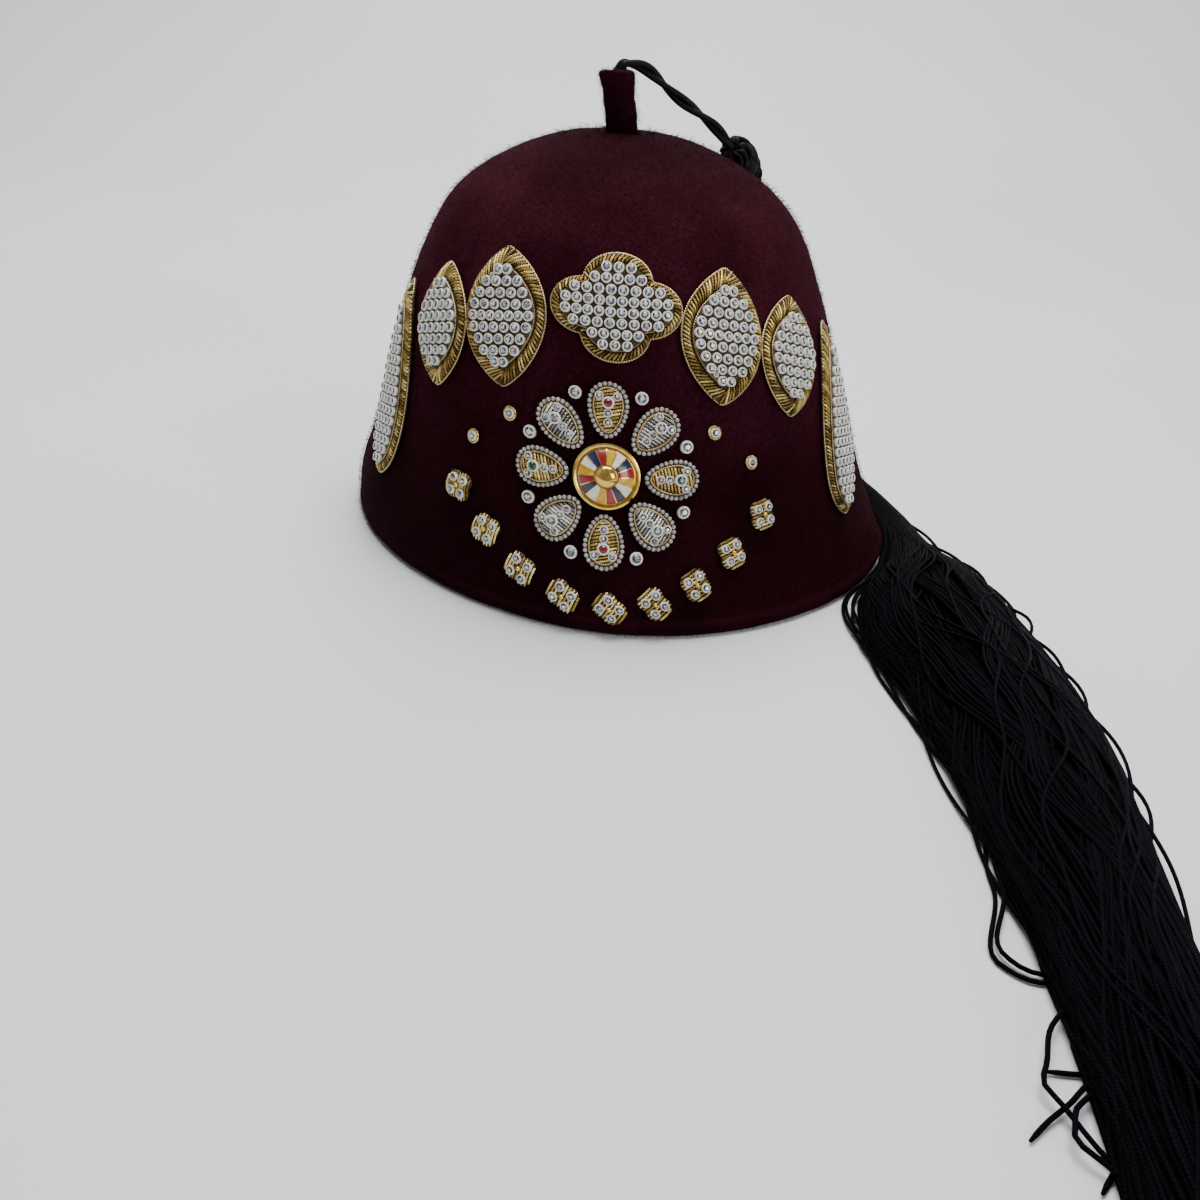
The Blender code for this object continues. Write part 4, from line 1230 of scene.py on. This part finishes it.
# Painted lighter and darker facets of one red and one green.
red_glass = cut_glass("red_cut_glass", (0.0, "#5c0712"), (0.5, "#8e1120"), (1.0, "#350309"))
green_glass = cut_glass("green_cut_glass", (0.0, "#062a1b"), (0.5, "#0d4a30"), (1.0, "#03150d"))
white_ring = enamel("milky_moulded_resin", "#f3f0e8", "#c6c1b6")
pearl_bead = enamel("pearl_bead", "#bfbbb3", "#7d7972", 0.12)
ENAMELS = [enamel("red_enamel", "#a3141f", "#7a0c16"), enamel("navy_enamel", "#1a2350", "#10163a"),
           enamel("white_enamel", "#eceae3", "#d5d3cc"), enamel("yellow_enamel", "#e0b21f", "#b98d12")]
print("enamels:", [finish.name for finish in ENAMELS])

# %% [markdown]
# ## One coil, one stone, one bead
#
# The coil starts as a cylinder lying along X. Three cuts give it places to bend,
# its ends are drawn in, and its middle is lifted, as a coil rises over the
# padding beneath it. The stone starts as a short cylinder too. Its top is inset
# for the ring's rim, pushed down for the seat, then extruded twice and resized
# for the stone's crown and its flat table. The table sits a little off centre,
# so that on turned copies its painted glint, and the light it catches, fall on
# different sides.

# %% Model the coil
COIL_LONG = 4.0
COIL_WIDE = 0.80
COIL_LIFT = 0.75
WIRE_PITCH = 0.42       # of the turns drawn on the coil


def new_primitive(name):
    """The primitive just added, its place and turn moved into its mesh."""
    thing = bpy.context.object
    thing.name = name
    bpy.ops.object.transform_apply(location=True, rotation=True, scale=True)
    return thing


bpy.ops.mesh.primitive_cylinder_add(vertices=8, radius=COIL_WIDE / 2, depth=COIL_LONG,
                                    rotation=(0, pi / 2, 0), location=(0, 0, 0))
coil_model = new_primitive("coil_model")
for cut in (-0.38, 0.0, 0.38):
    pick(coil_model)
    bpy.ops.mesh.bisect(plane_co=(cut * COIL_LONG, 0, 0), plane_no=(1, 0, 0))
    leave_edit()
for vertex in coil_model.data.vertices:
    share = 2 * vertex.co.x / COIL_LONG
    if abs(share) > 0.99:
        vertex.co.y *= 0.62
        vertex.co.z *= 0.62
    vertex.co.z += COIL_LIFT * (1 - share ** 2) + COIL_WIDE * 0.35
for loop, drawn in zip(coil_model.data.loops, coil_model.data.uv_layers.active.data):
    drawn.uv = (coil_model.data.vertices[loop.vertex_index].co.x / WIRE_PITCH, 0.0)
smooth(coil_model, 50)
coil_model.data.materials.append(gold_bullion)
print("coil faces:", len(coil_model.data.polygons))

# %% Model the stone in its ring
STONE_RADIUS = 1.5      # outside its ring
STONE_SIDES = 12
TABLE_OFF_CENTRE = 0.07
FACET_STEP = 0.37       # from one facet's number to the next one's


def ringed_stone(name, *finishes):
    """A cut stone in a ring, its back at height 0; finishes for the ring, facets and table."""
    bpy.ops.mesh.primitive_cylinder_add(vertices=STONE_SIDES, radius=STONE_RADIUS, depth=0.9,
                                        location=(0, 0, 0.45))
    stone = new_primitive(name)
    pick(stone, "polygons", lambda f: f.normal.z > 0.9)
    bpy.ops.mesh.inset(thickness=0.12, depth=0.0)
    bpy.ops.transform.translate(value=(0, 0, 0.22))
    bpy.ops.mesh.inset(thickness=0.24, depth=0.06)
    bpy.ops.mesh.inset(thickness=0.10, depth=-0.30)
    bpy.ops.mesh.extrude_region_move(TRANSFORM_OT_translate={"value": (0, 0, 0.20)})
    bpy.ops.mesh.extrude_region_move(TRANSFORM_OT_translate={"value": (TABLE_OFF_CENTRE, 0.0, 0.34)})
    bpy.ops.transform.resize(value=(0.50, 0.50, 1))
    bpy.ops.transform.rotate(value=pi / STONE_SIDES, orient_axis="Z",
                             center_override=(TABLE_OFF_CENTRE, 0, 0))
    leave_edit()
    for finish in finishes:
        stone.data.materials.append(finish)
    facets = stone.data.uv_layers.active.data
    top = max(face.center.z for face in stone.data.polygons)
    for face in stone.data.polygons:
        middle = face.center
        in_stone = sqrt(middle.x ** 2 + middle.y ** 2) < 1.03 and middle.z > 0.3
        face.material_index = 2 if middle.z > top - 0.01 else 1 if in_stone else 0
        face.use_smooth = face.material_index == 0 and abs(face.normal.z) < 0.95
        # Numbered by place, because the order of the faces changes from run to run.
        facet = STONE_SIDES * FACET_STEP * atan2(middle.y, middle.x) / (2 * pi) + 0.8 * middle.z
        for corner in face.loop_indices:
            facets[corner].uv = (facet % 1, 0)
    return stone


crystal_model = ringed_stone("crystal_model", white_ring, aurora_painted_reflections, aurora_painted_glint)
red_model = ringed_stone("red_model", white_ring, red_glass, red_glass)
green_model = ringed_stone("green_model", white_ring, green_glass, green_glass)
print("stone faces:", len(crystal_model.data.polygons))

# %% Model the seed beads
def seed_bead(name, width, finish):
    """A tiny bead, flattened where its thread comes out."""
    bpy.ops.mesh.primitive_uv_sphere_add(segments=8, ring_count=6, radius=width / 2,
                                         location=(0, 0, width * 0.42))
    bead = new_primitive(name)
    pick(bead, "polygons", lambda f: f.normal.z < -0.5)
    bpy.ops.transform.resize(value=(1, 1, 0.6))
    leave_edit()
    bead.data.materials.append(finish)
    smooth(bead, 60)
    return bead


bead_model = seed_bead("bead_model", 1.42, pearl_bead)
gilt_bead_model = seed_bead("gilt_bead_model", 1.5, gilt_metal)
print("bead faces:", len(bead_model.data.polygons))

# %% [markdown]
# ## Outlines
#
# Three outlines serve the garland: a quatrefoil for the middle, a pointed oval
# for the leaves and a tear shape for the drops. They are the CAD outlines, read
# at more points. The rosette's petals have one of their own, a little wider at
# the top.

# %% Outline functions
def sized(x, y, width, height):
    return np.stack([x * width / 2 / np.abs(x).max(), y * height / 2 / np.abs(y).max()], -1)


def rose_outline(width, height, count=96):
    a = angles(count)
    off_axis = (a + pi / 4) % (pi / 2) - pi / 4
    reach = 0.48 * np.cos(off_axis) + np.sqrt(0.52 ** 2 - (0.48 * np.sin(off_axis)) ** 2)
    return sized(reach * np.cos(a), reach * np.sin(a), width, height)


def leaf_outline(width, height, count=96):
    a = angles(count)
    return sized(np.abs(np.cos(a)) ** 1.6 * np.sign(np.cos(a)), np.sin(a), width, height)


def drop_outline(width, height, count=96):
    a = angles(count)
    belly = np.abs(np.sin(a)) ** 1.15 * (1 - 0.38 * np.cos(a))
    return sized(-belly * np.sign(np.sin(a)), np.cos(a), width, height)


def petal_outline(width, height, count=64):
    a = angles(count)
    return sized(np.cos(a) * (1 + 0.22 * np.sin(a)), np.sin(a), width, height)


print("rose outline points:", len(rose_outline(37, 30)))

# %% [markdown]
# From an outline we need two things: points evenly spaced along it, with their
# directions, and how wide it is at a given height, to fill it with rows of
# stones. A row leaves a gap near a tip, and smaller stones go in there.

# %% Round an outline, and across it
def evenly_round(outline, spacing):
    """Points this far apart round a closed outline, with the direction of travel."""
    loop = np.vstack([outline, outline[:1]])
    along = lengths_along(loop)
    count = max(8, round(along[-1] / spacing))
    at = np.arange(count) * along[-1] / count

    def read(where):
        where = where % along[-1]
        return np.stack([np.interp(where, along, loop[:, k]) for k in (0, 1)], -1)

    ahead = read(at + 1.0) - read(at - 1.0)
    return read(at), np.arctan2(ahead[:, 1], ahead[:, 0])


def width_at(outline, y):
    """Where a level line enters and leaves the outline, or None."""
    loop = np.vstack([outline, outline[:1]])
    found = []
    for a, b in zip(loop, loop[1:]):
        if (a[1] <= y) != (b[1] <= y):
            found.append(a[0] + (b[0] - a[0]) * (y - a[1]) / (b[1] - a[1]))
    return (min(found), max(found)) if len(found) > 1 else None


def rows_of_stones(outline, pitch, edge):
    """Spots in centred rows, their middles this far inside the outline."""
    spots = []
    low, high = outline[:, 1].min() + edge, outline[:, 1].max() - edge
    rows = max(2, int((high - low) / pitch + 1.15))
    for y in np.linspace(low, high, rows):
        level = width_at(outline, y)
        if level is None:
            continue
        room = level[1] - level[0] - 2 * edge
        if room < -0.9:
            continue
        count = max(1, int(room / pitch + 1.18))
        step = min(room / max(count - 1, 1), pitch * 1.1)
        for k in range(count):
            spots.append(((level[0] + level[1]) / 2 + (k - (count - 1) / 2) * step, y))
    return spots


def small_stones(outline, spots, usual=1.47, smallest=0.8):
    """Where rows leave a gap, as at a tip: x, y and radius of the stones that fit there."""
    inside = []
    for y in np.arange(outline[:, 1].min(), outline[:, 1].max(), 0.3):
        level = width_at(outline, y)
        if level:
            inside += [(x, y) for x in np.arange(level[0], level[1], 0.3)]
    inside = np.array(inside)
    room = np.linalg.norm(inside[:, None] - outline, axis=2).min(axis=1) - 0.1
    to_spots = np.linalg.norm(inside[:, None] - np.array(spots), axis=2).min(axis=1)
    room = np.minimum(room, to_spots - usual)
    small = []
    while room.max() > smallest:
        best = int(room.argmax())
        small.append((*inside[best], min(room[best], usual)))
        room = np.minimum(room, np.linalg.norm(inside - inside[best], axis=1) - small[-1][2])
    return small


print("stones in a small leaf:", len(rows_of_stones(leaf_outline(20, 30), 3.0, 1.5)))

# %% [markdown]
# ## A plaque of the garland
#
# Each plaque has a stiff padded base. It starts as a flat circle whose points
# are moved to the outline. Extruding and resizing carries it up over a soft
# border and then up the step to the bed. On the border lie short coils of
# bullion, side by side and slanted, and a twisted gold cord runs along both of
# its edges. The bed holds rows of ringed crystals that almost touch.

# %% Padded bases and gold edges
def lift_top(up, wide=1.0, high=1.0, shift=0.0):
    """Extrude the chosen top by this much, then resize and shift it."""
    bpy.ops.mesh.extrude_region_move(TRANSFORM_OT_translate={"value": (0, 0, up)})
    bpy.ops.transform.resize(value=(wide, high, 1), center_override=(0, 0, 0))
    if shift:
        bpy.ops.transform.translate(value=(0, shift, 0))


def lifted_disc(name, outline, lifts):
    """A flat face with this outline, carried up by these lifts and closed by a centre point."""
    bpy.ops.mesh.primitive_circle_add(vertices=len(outline), radius=1, fill_type="NGON",
                                      location=(0, 0, 0))
    disc = bpy.context.object
    disc.name = name
    for vertex, (x, y) in zip(disc.data.vertices, outline):
        vertex.co = (x, y, 0)
    pick(disc)
    for lift in lifts:
        lift_top(*lift)
    bpy.ops.mesh.poke()
    leave_edit()
    face_outwards(disc)
    return disc


def padding(name, outline, lifts, steps=(0.7, 0.4)):
    """A base in dull gold felt, its darkness partly painted shade, with rings towards the middle of its
    top, so that it can bend.
    """
    base = lifted_disc(name, outline, [*lifts, *[(0.0, share, share) for share in steps]])
    base.data.materials.append(backing_with_painted_shade)
    smooth(base, 40)
    return base


def edge_cord(name, outlines, spacing, radius, twist_mm):
    """A gold cord along each outline at its height; its ends overlap by one step."""
    lines = []
    for outline, high in outlines:
        points, _ = evenly_round(outline, spacing)
        lines.append(np.column_stack([np.vstack([points, points[:2]]), np.full(len(points) + 2, high)]))
    cord = swept(name, lines, radius, twist_mm=twist_mm, unit=1.0)
    cord.data.materials.append(gold_edging)
    return cord

# %% Build the seven plaques
BORDER = 3.0
BED_TOP = 2.25
COIL_PITCH = 1.12       # between coils along the border
COIL_SLANT = radians(52)
LONGEST_COIL = 5.6      # the border's width that the coils still cross, at a pointed tip
STONE_PITCH = 3.02
STONE_INSIDE = 1.45     # between the middle of a stone and the bed's edge
STONE_SUNK = 0.12       # into the bed
SNUG_STONE = 1.47       # radius of a stone in the rows
CORD_WIDE = 0.66        # gold cord along the edges
FINE = 240              # points of an outline that things are laid along


def plaque(name, node, place, shape, size, tip_above=0.0, tip_below=0.0):
    """Padding, coils and gold cords as one piece, and the stones of its bed as another."""
    width, height = size
    shift = (tip_below - tip_above) / 2

    def bed(border):
        inner = shape(width - 2 * border, height - 2 * border - tip_above - tip_below, FINE)
        return inner + np.array([0, shift])

    end_wide = (width - 2 * BORDER) / width
    end_high = (height - 2 * BORDER - tip_above - tip_below) / height
    mid_wide, mid_high = (1 + end_wide) / 2, (1 + end_high) / 2
    base = padding(f"{name}_padding", shape(width, height), [
        (0.75,), (0.4, mid_wide, mid_high), (-0.15, end_wide / mid_wide, end_high / mid_high, shift),
        (BED_TOP - 1.0,)])
    outer = shape(width, height, FINE)
    middle, across = (outer + bed(BORDER)) / 2, np.linalg.norm(outer - bed(BORDER), axis=1)
    spots = []
    for spot, heading in zip(*evenly_round(middle, COIL_PITCH)):
        border = across[np.argmin(np.linalg.norm(middle - spot, axis=1))]
        length = (min(border, LONGEST_COIL) - COIL_WIDE) / sin(COIL_SLANT)
        spots.append((*spot, 0.55, heading + COIL_SLANT, length / COIL_LONG, chance.uniform(0.0, 0.65)))
    coils = stamped(f"{name}_coils", coil_model, spots, only_length=True)
    cords = edge_cord(f"{name}_cords", [(outer, 0.55), (bed(BORDER + 0.15), 1.75)],
                      0.9, CORD_WIDE / 2, 1.5)
    bullion = joined(f"{name}_bullion", [base, coils, cords])
    sew(bullion, place)
    settle(bullion, [node])
    rows = rows_of_stones(bed(BORDER), STONE_PITCH, STONE_INSIDE)
    rows_and_gaps = [(x, y, SNUG_STONE) for x, y in rows] + small_stones(bed(BORDER), rows, SNUG_STONE)
    stones = stamped(f"{name}_stones", crystal_model, [
        (x, y, BED_TOP - STONE_SUNK, chance.uniform(0, 2 * pi), radius / STONE_RADIUS,
         chance.uniform(0, 1))
        for x, y, radius in rows_and_gaps])
    sew(stones, place)
    settle(stones)


LEAF_TIP = 2.4
DROP_TIP = 5.0
plaque("rose", "rose_plaque", (0.5, 87.5, 0.0), rose_outline, (37.0, 30.0))
for side, word in SIDES:
    for kind, azimuth, height, lean, size in (("inner", 27.0, 81.0, -9.0, (26.5, 39.0)),
                                              ("outer", 47.0, 74.0, -15.0, (25.0, 36.0))):
        plaque(f"{word}_{kind}", f"{word}_{kind}_leaf", (side * azimuth, height, side * lean),
               leaf_outline, size, LEAF_TIP, LEAF_TIP)
    plaque(f"{word}_drop", f"{word}_drop", (side * 63.5, 52.0, -side * 9.0), drop_outline, (21.0, 61.0),
           DROP_TIP)

# %% [markdown]
# ## The rosette
#
# Eight petals stand round a boss. A petal is a small padded oval, filled with
# coils laid straight across it, gold and silver by turns. A thin gold cord runs
# round its inside and a string of seed beads round its edge. One petal is
# modelled pointing up, and its copies turn about the rosette's centre.

# %% Petals
ROSETTE_PLACE = (-0.8, 43.5, 0.0)
PETALS = 8
PETAL_START = 10.8
PETAL_SIZE = (11.4, 15.6)
PETAL_CRYSTALS = [(0.0, -0.9), (0.0, -3.5), (-2.5, 3.9), (2.5, 3.9)]   # sewn in with the coils
BEAD_PITCH = 1.40
PETAL_COIL_PITCH = 0.98
PETAL_COIL_SLANT = radians(14)


def petal_line(inside):
    """The petal's outline, drawn in by this much in all."""
    return petal_outline(PETAL_SIZE[0] - inside, PETAL_SIZE[1] - inside, 160)


def petal(number):
    name = f"petal_{number}"
    base = padding(f"{name}_padding", petal_outline(*PETAL_SIZE), [(0.5,), (0.75, 0.84, 0.88)])
    rim, _ = evenly_round(petal_line(0.9), BEAD_PITCH)
    beads = stamped("beads", bead_model, [(x, y, 0.55, 0, 0.95, chance.uniform(0, 1)) for x, y in rim])
    inner = petal_line(3.2)
    edge = edge_cord("edge", [(inner, 1.35)], 0.7, 0.32, 1.3)
    spots = []
    for y in np.arange(inner[:, 1].min() + 0.7, inner[:, 1].max() - 0.4, PETAL_COIL_PITCH):
        left, right = width_at(inner, y)
        spots.append(((left + right) / 2, y, 0.75, PETAL_COIL_SLANT,
                      (right - left) * 1.02 / COIL_LONG, chance.uniform(0.1, 0.7)))
    coils = stamped("coils", coil_model, spots, only_length=True)
    coils.data.materials[0] = gold_bullion if number % 2 else silver_bullion
    crystals = stamped("crystals", crystal_model, [(x, y, 1.2, 0.3 * k, 0.84, chance.uniform(0, 1))
                                                   for k, (x, y) in enumerate(PETAL_CRYSTALS)])
    whole = joined(f"{name}_dressed", [base, beads, edge, coils, crystals])
    turn = 2 * pi * (number - 1) / PETALS
    across, out, off = points_of(whole).T
    out = out + PETAL_START + PETAL_SIZE[1] / 2
    move_points(whole, np.stack([across * cos(turn) - out * sin(turn),
                                 across * sin(turn) + out * cos(turn), off], -1))
    sew(whole, ROSETTE_PLACE)
    settle(whole, [name])


for number in range(1, PETALS + 1):
    petal(number)

# %% [markdown]
# The boss is a stamped gilt dome. Its wide rim is raised, its dome is divided
# into cells by thin walls, and the cells are filled with red, white, navy and
# yellow enamel. The circle has eight narrow faces to a cell, and the wall between
# two cells is one of them.

# %% Boss
CELLS = 16
PARTS = 8               # narrow faces to a cell, one of them its wall
CELLS_FROM, CELLS_TO = 3.4, 7.6
# Radius and height of each ring of the boss, from its foot to its middle.
BOSS_RINGS = [
    (9.6, 0.0), (9.6, 1.4), (9.35, 1.95), (8.85, 2.15), (8.4, 1.95), (8.15, 1.5), (7.95, 1.5),
    (7.75, 2.05), (6.6, 2.85), (5.3, 3.45), (4.1, 3.8), (3.35, 3.9), (3.2, 3.55), (2.95, 3.55),
    (2.8, 4.0), (2.2, 4.5), (1.2, 4.85),
]


def cell_of(face):
    """Which enamel cell a face of the dome lies in, or None for the walls and the rim."""
    out = sqrt(face.center.x ** 2 + face.center.y ** 2)
    part = (np.arctan2(face.center.y, face.center.x) % (2 * pi)) / (2 * pi) * CELLS
    return int(part) if CELLS_FROM < out < CELLS_TO and part % 1 > 1 / PARTS else None


circle = angles(CELLS * PARTS)
boss = lifted_disc("boss", BOSS_RINGS[0][0] * np.stack([np.cos(circle), np.sin(circle)], -1), [
    (high - was_high, wide / was_wide, wide / was_wide)
    for (was_wide, was_high), (wide, high) in zip(BOSS_RINGS, BOSS_RINGS[1:])])
for finish in (gilt_metal, *ENAMELS):
    boss.data.materials.append(finish)
for face in boss.data.polygons:
    cell = cell_of(face)
    face.material_index = 0 if cell is None else 1 + cell % len(ENAMELS)
print("enamel faces:", pick(boss, "polygons", lambda f: f.material_index > 0))
bpy.ops.mesh.inset(thickness=0.07, depth=-0.16)
leave_edit()
smooth(boss, 30)
sew(boss, ROSETTE_PLACE)
settle(boss, ["rosette_boss"])

# %% [markdown]
# ## Stones on and round the rosette
#
# Eight stones sit on the petals and eight between their tips, and two more dots
# climb on either side. They are the ringed stone again, sized to the CAD radius.

# %% Single stones
MODELS = {"red_stone": red_model, "crystal": crystal_model, "green_stone": green_model}
PETAL_STONE_COLOURS = ("red_stone", "crystal", "green_stone", "crystal")
PETAL_STONE_AT, TIP_STONE_AT = 20.6, 24.4


def single_stone(node, slot, out, turn, lift, radius):
    """A stone this far out from the rosette's centre, at this turn from its top."""
    made = stamped(f"{node}_dressed", MODELS[slot], [
        (-out * sin(turn), out * cos(turn), 0, 0.2, radius / STONE_RADIUS, chance.uniform(0, 1))])
    sew(made, ROSETTE_PLACE, lift)
    settle(made, [node])


for k in range(PETALS):
    turn = 2 * pi * k / PETALS
    single_stone(f"petal_stone_{k + 1}", PETAL_STONE_COLOURS[k % 4], PETAL_STONE_AT, turn, 2.45, 1.75)
    single_stone(f"tip_stone_{k + 1}", "crystal", TIP_STONE_AT, turn + pi / PETALS, GAP, 1.9)

# %% [markdown]
# The two dots on either side are a little richer: a ring of gold bullion is
# sewn down first, and a ringed crystal sits inside it.

# %% Dots
DOT_RING = 1.78
DOT_WIRE = 0.42         # radius of the bullion, and the pitch of its turns


def dot(node, place):
    a = np.linspace(0, 2 * pi, 34)
    line = np.stack([DOT_RING * np.cos(a), DOT_RING * np.sin(a), 0 * a + DOT_WIRE], -1)
    ring = swept("ring", [line], DOT_WIRE, sides=8, twist_mm=DOT_WIRE, unit=1.0)
    ring.data.materials.append(gold_bullion)
    crystal = stamped("crystal", crystal_model, [(0, 0, 0.1, 0.2, 0.96, chance.uniform(0, 1))])
    whole = joined(f"{node}_dressed", [ring, crystal])
    sew(whole, place)
    settle(whole, [node])


for side, word in SIDES:
    for n, (azimuth, height) in enumerate([(22.5, 56.0), (31.0, 47.0)], 1):
        dot(f"{word}_dot_stone_{n}", (side * azimuth, height, 0))

# %% [markdown]
# ## The swag
#
# Nine small clusters follow the rim. Each is a four-lobed pad, covered from edge
# to edge with slanted coils of bullion. A ringed crystal sits on every lobe and a
# gilt bead in the middle.

# %% Clusters
CLUSTER = 9.6
CLUSTER_SLANT = radians(50)
SHORTEST_COIL = 3.0
LOBE_AT = 2.75          # crystals on the lobes, from the middle
SWAG = [(0.0, 8.4), (8.2, 10.2), (16.4, 15.0), (24.6, 22.6), (32.8, 32.0)]


def cluster(node, azimuth, height):
    base = padding(f"{node}_padding", rose_outline(CLUSTER, CLUSTER, 48), [(0.5,), (0.5, 0.86, 0.86)],
                   (0.6, 0.3))
    c, s = cos(CLUSTER_SLANT), sin(CLUSTER_SLANT)
    turned = rose_outline(CLUSTER + 0.5, CLUSTER + 0.5) @ np.array([[c, -s], [s, c]])
    spots = []
    for across in np.arange(-4.08, 4.1, 1.02):
        low, high = width_at(turned, across)
        middle = (low + high) / 2
        if high - low >= SHORTEST_COIL:
            spots.append((middle * c - across * s, middle * s + across * c, 0.35, CLUSTER_SLANT,
                          (high - low) / COIL_LONG, chance.uniform(0.1, 0.7)))
    coils = stamped("coils", coil_model, spots, only_length=True)
    stones = stamped("stones", crystal_model, [
        (LOBE_AT * cos(a), LOBE_AT * sin(a), 0.95, a, 0.92, chance.uniform(0, 1)) for a in angles(4)])
    bead = stamped("bead", gilt_bead_model, [(0, 0, 1.25, 0, 1.0, 0.5)])
    whole = joined(f"{node}_dressed", [base, coils, stones, bead])
    sew(whole, (azimuth, height, -1.2 * azimuth))
    settle(whole, [node])


cluster("middle_cluster", *SWAG[0])
for n, (azimuth, height) in enumerate(SWAG[1:], 1):
    for side, word in SIDES:
        cluster(f"{word}_cluster_{n}", side * azimuth, height)
for model in (coil_model, crystal_model, red_model, green_model, bead_model, gilt_bead_model):
    bpy.data.objects.remove(model, do_unlink=True)      # they were only stamped

# %% [markdown]
# ## Table, backdrop and light
#
# The hat stands on a white table in front of a pale wall, in soft light from
# above and behind. One sheet curved up at the back gives both, with no corner.

# %% Table and backdrop
WALL_HIGH = 1.4
CURVE_RADIUS = 0.35
PALE_PATCHES = 1000 / 3     # mm across


def at_back(edge):
    """Whether an edge of the sheet lies behind the hat, and not up the wall."""
    ends = [table.data.vertices[v].co for v in edge.vertices]
    return all(end.y > 0 and end.z < 0.1 for end in ends)


bpy.ops.mesh.primitive_plane_add(size=2.4, location=(0, -0.3, -0.0002))
table = bpy.context.object
table.name = "pale_table"
pick(table, "edges", at_back)
bpy.ops.mesh.extrude_region_move(TRANSFORM_OT_translate={"value": (0, 0, WALL_HIGH)})
leave_edit()
pick(table, "edges", at_back)
bpy.ops.mesh.bevel(offset=CURVE_RADIUS, segments=16)
leave_edit()
smooth(table, 60)
table.data.materials.append(clouded_finish("pale_laminate", PALE_PATCHES, 2.0,
                                           [(0.3, "#d2d3d6"), (0.7, "#dadbdd")], Roughness=0.6))
print("table faces:", len(table.data.polygons))

# %% Soft light
def softbox(name, place, aim, size, watts):
    """A square area light at a place in metres, turned to its aim."""
    away = Vector(place) - Vector(aim)
    bpy.ops.object.light_add(type="AREA", location=place,
                             rotation=away.to_track_quat("Z", "Y").to_euler())
    light = bpy.context.object
    light.name = name
    light.data.size = size
    light.data.energy = watts


softbox("ceiling", (-0.02, 0.28, 1.20), (0.02, 0, 0.05), 1.0, 29)
softbox("window", (-1.0, -0.45, 0.75), (0, 0, 0.05), 0.8, 0.6)
softbox("right_fill", (0.75, -0.85, 0.5), (0.32, -0.45, 0.0), 0.6, 6.0)
world = bpy.context.scene.world or bpy.data.worlds.new("room")
bpy.context.scene.world = world
world.use_nodes = True
connect(world.node_tree.nodes["Background"], Color=linear("#e8e9ec"), Strength=0.37)
print("lights:", [light.name for light in bpy.data.lights])
